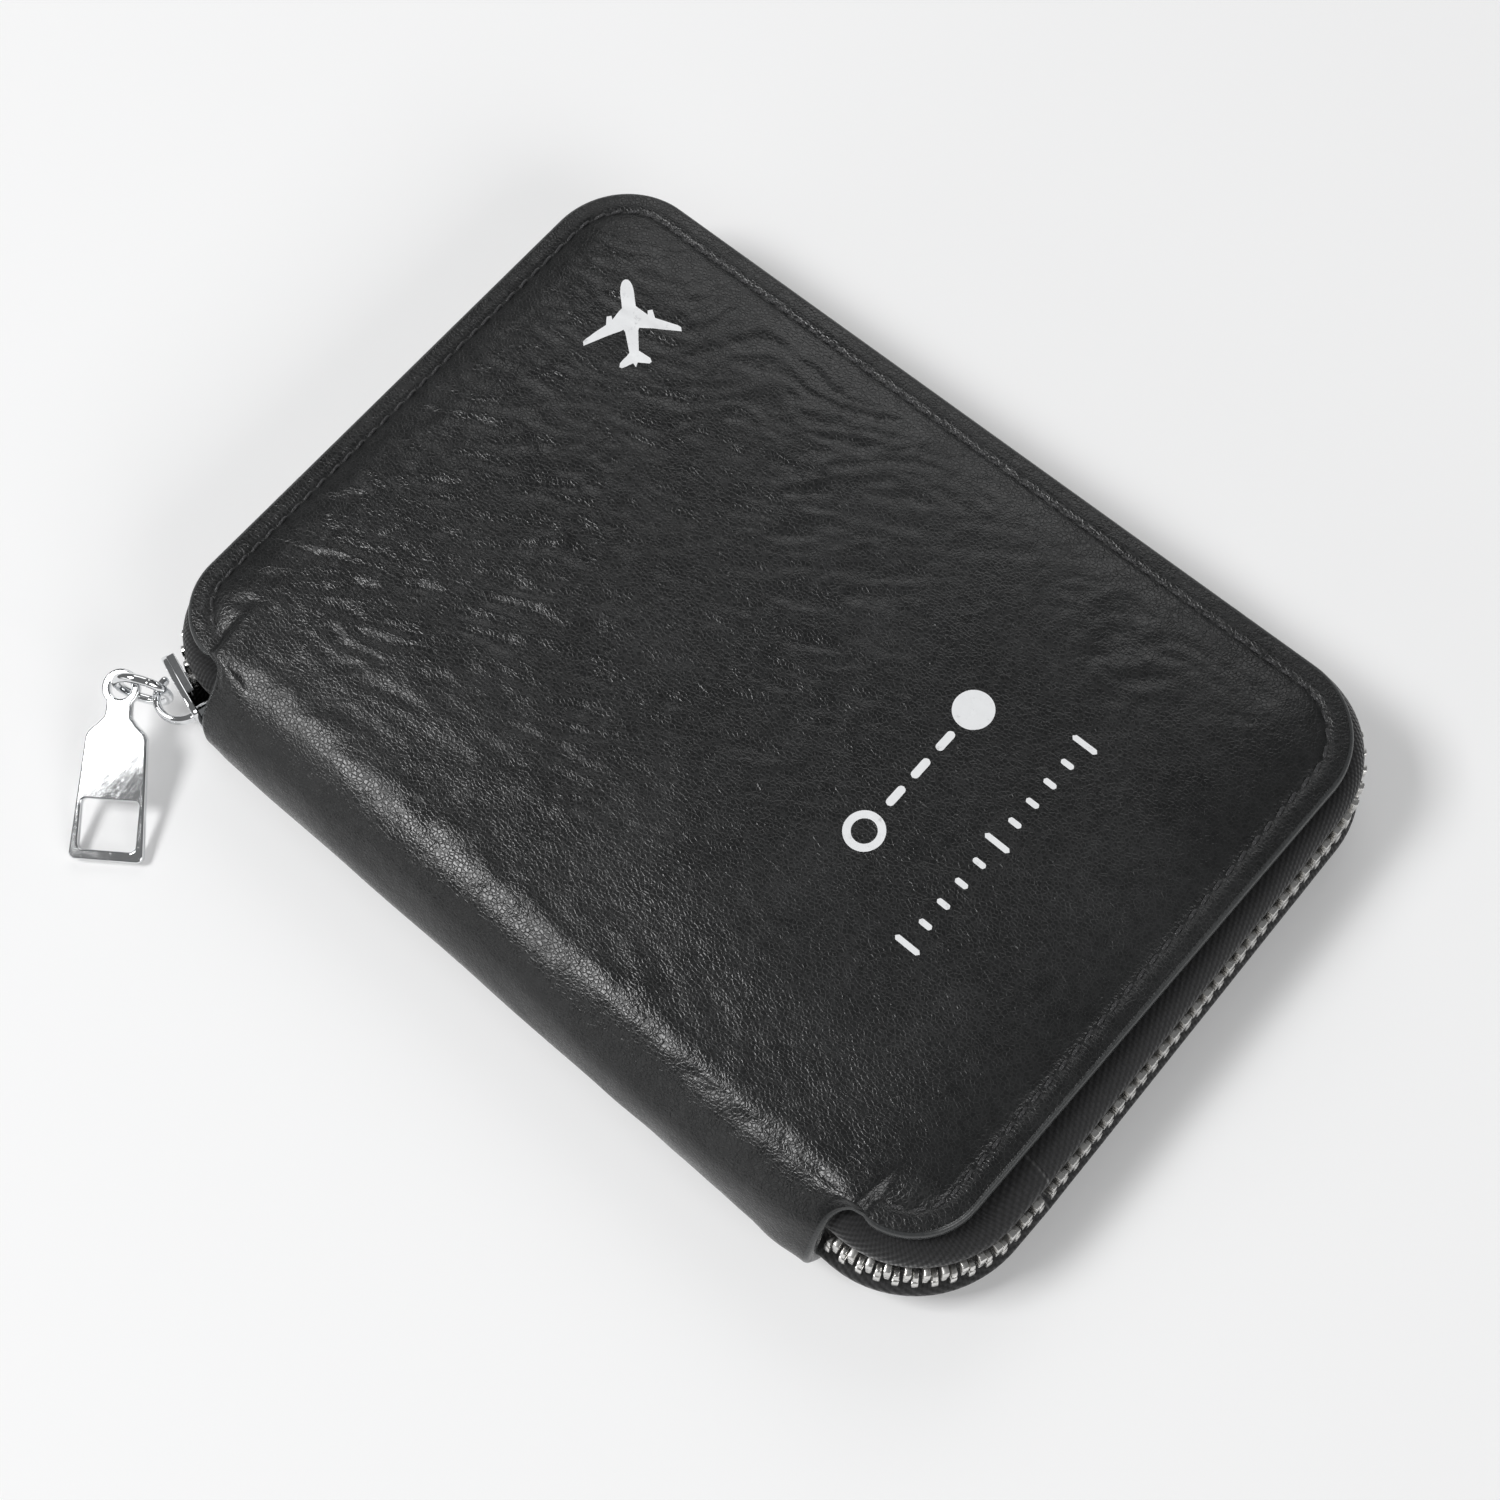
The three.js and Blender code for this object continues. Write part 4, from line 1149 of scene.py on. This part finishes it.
def airliner(length, span):
    """A plain airliner seen from above, nose at +X: half its outline with one engine, then mirrored."""
    l, s = length / 2, span / 2
    half = [(l, 0), (l * 0.985, 0.35), (l * 0.93, 0.68), (l * 0.84, 0.92), (l * 0.72, 1.05), (l * 0.36, 1.08)]
    half += [(l * 0.13, s * 0.36), (l * 0.22, s * 0.37), (l * 0.22, s * 0.47), (l * 0.035, s * 0.50)]
    half += [(-l * 0.20, s * 0.94), (-l * 0.26, s), (-l * 0.36, s), (-l * 0.30, s * 0.80), (-l * 0.14, 1.2)]
    half += [(-l * 0.20, 1.0), (-l * 0.66, 0.74), (-l * 0.86, s * 0.31), (-l * 0.95, s * 0.33)]
    half += [(-l * 0.98, s * 0.28), (-l * 0.90, 0.35), (-l * 1.0, 0.0)]
    return half + [(x, -y) for x, y in reversed(half[1:-1])]


def placed(points, centre, heading):
    c, s = math.cos(heading), math.sin(heading)
    return [(centre[0] + c * x - s * y, centre[1] + s * x + c * y) for x, y in points]


g = Look("white_print", (0.80, 0.81, 0.82), 0.45)
pebbles = g.add(g.times(g.voronoi(1150, "SMOOTH_F1"), 0.8), g.times(g.noise(2600, 3), 0.4))
wear = g.spread(g.noise(650, 5, 0.7), 0.60, 0.70, 0, 0.55)
g.shade(
    Normal=g.bump(pebbles, 0.00008),
    Base_Color=g.mix(wear, (0.82, 0.83, 0.84), (0.42, 0.42, 0.43)),
    Roughness=g.spread(g.noise(300, 4), 0.3, 0.7, 0.36, 0.6),
)
white = g.material

plane_points = placed(airliner(15.6, 15.2), (-52.4, 33.6), math.radians(138.5))
prints = [("print_airliner", *print_polygon(plane_points))]
route_x, ticks_x = 29.2, 44.6
prints.append(("print_route_start", *print_ring((route_x, -6.2), 3.1, 1.9)))
for k, y in enumerate((0.6, 6.0, 11.4)):
    prints.append((f"print_route_dash_{k + 1}", *print_strip((route_x, y), (0, 1), 3.6, 1.3)))
prints.append(("print_route_end", *print_ring((route_x, 17.6), 3.1, 0.02)))
for k in range(11):
    length = 4.4 if k % 5 == 0 else 2.2
    prints.append((f"print_tick_{k + 1}", *print_strip((ticks_x, -15 + 3.85 * k), (1, 0), length, 0.9, 12, 5)))
for name, points, faces in prints:
    piece = print_piece(name, points, faces)
    dress(piece, white)
    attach(piece, "front_cover")

# ---------------------------------------------------------------- inside


def lining_material(name, dark, light):
    g = Look(name, dark, 0.75, Sheen_Weight=0.4, Sheen_Roughness=0.4)
    weave = g.math("MAXIMUM", g.times(g.wave(560, "X", distortion=0.25), 0.9), g.wave(560, "Y", distortion=0.25))
    g.shade(
        Normal=g.bump(g.add(weave, g.times(g.noise(90, 4), 1.4)), 0.00006),
        Base_Color=g.mix(g.spread(g.times(weave, g.noise(220, 4)), 0.2, 0.6, 0, 1), dark, light),
        Roughness=g.spread(g.noise(120, 3), 0.3, 0.7, 0.65, 0.85),
    )
    return g.material


lining = lining_material("woven_lining", (0.012, 0.013, 0.015), (0.035, 0.037, 0.042))
elastic = lining_material("ribbed_elastic", (0.008, 0.008, 0.009), (0.028, 0.028, 0.030))
inner_leather = leather_material("pocket_leather", 0.7, 0.5)
g = Look("grey_foam", (0.10, 0.10, 0.11), 0.95)
g.shade(
    Normal=g.bump(g.voronoi(1800), 0.0002),
    Base_Color=g.mix(g.noise(900, 3), (0.07, 0.07, 0.075), (0.15, 0.15, 0.16)),
)
foam = g.material
g = Look("fibre_board", (0.25, 0.20, 0.13), 0.9)
g.shade(
    Normal=g.bump(g.noise(1500, 5), 0.0001),
    Base_Color=g.mix(g.noise(400, 6, 0.7), (0.18, 0.14, 0.09), (0.34, 0.28, 0.19)),
)
board = g.material
# The gutter lining's section, from over the back cover's lining down to where it meets the spine's arc.
GUTTER = [(-41.2, 5.62), (-43.0, 5.60), (-44.6, 5.35), (-45.9, 4.7), (-47.0, 3.9), (-48.2, 3.1), (-49.3, 2.55)]
GUTTER_HALF = 54.2
GUTTER_BEND = 14  # rows of the section in each of its outer pieces


def gutter_lining():
    """The spine's lining, from one cover's lining round the gutter to the other's, in three pieces."""
    radius = SPINE_R - 1.35
    half = list(GUTTER)
    for phi in np.radians(np.linspace(22, 90, 18)):
        half.append((SPINE_Y - radius * math.sin(phi), MID - radius * math.cos(phi)))
    section = np.array(half + [(y, HEIGHT - z) for y, z in reversed(half[:-1])])
    section[:, 0] += LEAN * section[:, 1] / HEIGHT
    xs = np.linspace(-GUTTER_HALF, GUTTER_HALF, 61)
    turn = np.gradient(section, axis=0)
    turn /= np.linalg.norm(turn, axis=1)[:, None]
    inward = np.stack([turn[:, 1], -turn[:, 0]], -1)
    if inward[len(section) // 2, 0] < 0:
        inward = -inward
    rows = len(section)
    vertices, faces = [], []
    for layer in (0, 1):
        for x in xs:
            for k, (y, z) in enumerate(section):
                lift = 0.35 * (1 - layer) + 0.12 * fine(x / 7, k / 5.0) + 0.08 * fine(x / 2.4, k / 2.0)
                vertices.append((x, y + inward[k, 0] * lift, z + inward[k, 1] * lift))
    size = len(xs) * rows
    for i in range(len(xs) - 1):
        for k in range(rows - 1):
            a, b, c, d = i * rows + k, (i + 1) * rows + k, (i + 1) * rows + k + 1, i * rows + k + 1
            faces += [((a, b, c, d), k), ((a + size, d + size, c + size, b + size), k)]
    for i in range(len(xs) - 1):
        a, b = i * rows, (i + 1) * rows
        c, d = a + rows - 1, b + rows - 1
        faces += [((a, a + size, b + size, b), 0), ((c, d, d + size, c + size), rows - 2)]
    for k in range(rows - 1):
        a, b = k, (len(xs) - 1) * rows + k
        faces += [((a, a + 1, a + 1 + size, a + size), k), ((b, b + size, b + 1 + size, b + 1), k)]
    low, high = GUTTER_BEND, rows - 1 - GUTTER_BEND
    names = ("back_gutter_lining", "spine_gutter_lining", "front_gutter_lining")
    vertices = np.array(vertices)
    pieces = []
    for n, name in enumerate(names):
        mine = [f for f, k in faces if (0 if k < low else (1 if k < high else 2)) == n]
        used, inverse = np.unique(np.array(mine), return_inverse=True)
        piece = new_object(name, vertices[used], inverse.reshape(-1, 4))
        piece.data.set_sharp_from_angle(angle=math.radians(50))
        dress(piece, lining)
        pieces.append(piece)
    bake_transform(pieces[0])
    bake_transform(pieces[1])
    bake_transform(pieces[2])
    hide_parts("spine_lining_lower")
    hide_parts("spine_lining_upper")


gutter_lining()

looks = {"lining": lining, "elastic": elastic, "leather": inner_leather, "foam": foam, "board": board}
looks.update({"zip_metal": nickel, "zip_tape": tape_cloth, "chrome": chrome})
slot_of = {s["node"]: s["material_slot"] for s in frame["record"]["subparts"]}
SHEET_STEP = 2.0
SEAM_IN = 1.9  # a pocket's seam, inside its edge


def soft_sheet(name, node, near, far, sewn):
    """A soft sheet in its CAD node's space, with rolled edges, a sunk seam and an uneven face to the inside."""
    low, high = span(node)
    centre, half = (low + high) / 2, (high - low) / 2
    face = 1 if centre[2] < MID else -1
    xs, ys = spaced(half[0], SHEET_STEP), spaced(half[1], SHEET_STEP)
    x, y = plan_points(xs, ys, near, far)
    d = inside_distance(x, y, half[0], half[1], near, far)
    roll = 0.85 * half[2] * (1 - np.sqrt(1 - np.clip(1 - d / half[2], 0, 1) ** 2))
    uneven = 0.5 + 0.45 * broad(x / 21 + centre[2], y / 15) + 0.25 * fine(x / 6.0, y / 4.5 + centre[2])
    sway = 0.24 * np.clip(uneven, 0, 1)
    seam = (0.14 if sewn else 0.0) * np.exp(-(((d - SEAM_IN) / 0.5) ** 2))
    shown = centre[2] + face * (half[2] - roll - sway - seam)
    hidden = centre[2] - face * (half[2] - roll + sway)
    layers = [np.stack([x + centre[0], y + centre[1], z], -1).reshape(-1, 3) for z in (shown, hidden)]
    index = np.arange(x.size).reshape(x.shape)
    top = grid_faces(*x.shape)
    rim = np.concatenate([index[:, 0], index[-1, 1:], index[-2::-1, -1], index[0, -2:0:-1]])
    after = np.roll(rim, -1)
    wall = np.stack([rim + x.size, after + x.size, after, rim], -1)
    faces = np.concatenate([top, top[:, ::-1] + x.size, wall])
    piece = new_object(name, np.concatenate(layers), faces if face > 0 else faces[:, ::-1])
    return piece, face, low, high


def pen_loop():
    """The elastic pen loop, ribbed along its band."""
    low, high = span("pen_loop")
    centre, radius, wall = (low + high) / 2, (high[2] - low[2]) / 2, 0.8
    xs = np.linspace(low[0], high[0], 89)
    thin = 0.3 * (1 - np.clip(np.minimum(xs - low[0], high[0] - xs) / 0.3, 0, 1)) ** 2
    ribs = 0.05 * (1 - np.cos(xs * 2 * np.pi / 1.1))
    profile = [*zip(xs, radius - ribs - thin), *reversed([*zip(xs, radius - wall + ribs + thin)])]
    turns = np.linspace(0, 2 * np.pi, 56, endpoint=False)
    vertices = []
    for x, r in profile:
        for t in turns:
            uneven = r * (1 - 0.02 * abs(broad(x / 9, t * 1.5)))
            vertices.append((x, centre[1] + uneven * math.cos(t), centre[2] + uneven * math.sin(t)))
    faces = grid_faces(len(profile), len(turns), round_rows=True, round_columns=True)[:, [0, 3, 2, 1]]
    piece = new_object("elastic_pen_loop", vertices, faces)
    dress(piece, elastic)
    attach(piece, "spine_lower")
    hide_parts("pen_loop")


pen_loop()

# CAD node, its near and far corner radii, and whether a seam runs round it.
SHEETS = [(f"{side}_{layer}", 6.0, 12.2, False) for side in ("back", "front") for layer in ("foam", "lining")]
SHEETS += [(node, 3.0, 8.0, True) for node in ("ticket_pocket", "passport_pocket", "bill_pocket")]
SHEETS += [(f"card_pocket_{k}", 3.0, 8.0, True) for k in (1, 2, 3)]
for node, near, far, sewn in SHEETS:
    piece, face, low, high = soft_sheet(f"{node}_sheet", node, near, far, sewn)
    side = "back" if face > 0 else "front"
    dress(piece, looks[slot_of[node]])
    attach(piece, f"{side}_cover")
    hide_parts(node)
    if sewn:
        (x0, y0), (x1, y1) = low[:2] + SEAM_IN, high[:2] - SEAM_IN
        path = even_steps(rounded_box(x0, x1, y0, y1, near - SEAM_IN, 8, far - SEAM_IN))
        seam = stitches(f"{node}_stitching", path, surface_of(piece, face), face, 2.0, 3.0, 0.17)
        dress(seam, thread)
        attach(seam, f"{side}_cover")
    if slot_of[node] == "foam":
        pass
    else:
        width, length = (high - low)[:2] * MM
for node, obj in frame["nodes"].items():
    obj.data.materials.clear()
    obj.data.materials.append(looks[slot_of[node]])
    if not obj.hide_render:
        obj.data.shade_smooth()
        obj.data.set_sharp_from_angle(angle=math.radians(35))
        if min(obj.dimensions) > 0.0007 or "stop" in node:
            bevel = obj.modifiers.new("edge", "BEVEL")
            bevel.width = 0.0002
            bevel.segments = 2
            bevel.limit_method = "ANGLE"
            bevel.angle_limit = math.radians(40)

# ---------------------------------------------------------------- floor, light and camera

FLOOR_HALF, FLOOR_DROP = 9000, 0.05
floor_corners = [(x * FLOOR_HALF, y * FLOOR_HALF, -FLOOR_DROP) for x, y in ((-1, -1), (1, -1), (1, 1), (-1, 1))]
floor = new_object("floor", floor_corners, [(0, 1, 2, 3)], smooth_faces=False)
floor_look = Look("pale_floor", (0.80, 0.80, 0.802), 0.8, Emission_Color=(1, 1, 1, 1), Emission_Strength=0.15)
floor.data.materials.append(floor_look.material)

world = bpy.data.worlds.new("studio")
bpy.context.scene.world = world
world.use_nodes = True
world.node_tree.nodes["Background"].inputs["Color"].default_value = (0.98, 0.99, 1.0, 1)
world.node_tree.nodes["Background"].inputs["Strength"].default_value = 0.17


def area_light(name, place, target, size, power):
    """A rectangular light at a place, turned to a target, both in metres."""
    light = bpy.data.lights.new(name, "AREA")
    light.shape = "RECTANGLE"
    light.size, light.size_y = size
    light.energy = power
    obj = linked(name, light)
    obj.location = place
    obj.rotation_euler = (Vector(target) - Vector(place)).to_track_quat("-Z", "Y").to_euler()


area_light("key", (-0.60, -0.59, 1.19), (0, 0, 0), (0.56, 0.42), 12.6)
area_light("far_fill", (-0.70, 1.05, 1.10), (0, 0, 0), (1.2, 0.8), 4.9)
area_light("pull_card", (-0.305, -0.58, 1.12), (-0.07, -0.07, 0), (0.14, 0.14), 0.07)
area_light("near_fill", (-0.50, -1.30, 0.45), (0, 0, 0), (1.0, 0.5), 1.5)
area_light("right_fill", (1.35, -0.25, 0.85), (0, 0, 0), (0.9, 0.7), 8.8)

bpy.context.scene.view_settings.view_transform = "Standard"

camera_data = bpy.data.cameras.new("camera")
camera_data.lens = 61.2
camera_data.sensor_width = 36
camera_data.clip_start = 0.01
camera = linked("camera", camera_data)
place = Vector((0.1209, -0.0894, 0.3573))
right = Vector((0.743, 0.663, -0.087)).normalized()
backward = Vector((0.309, -0.226, 0.924)).normalized()
up = backward.cross(right).normalized()
right = up.cross(backward)
camera.matrix_world = Matrix([*zip(right, up, backward, place), (0, 0, 0, 1)])
bpy.context.scene.camera = camera
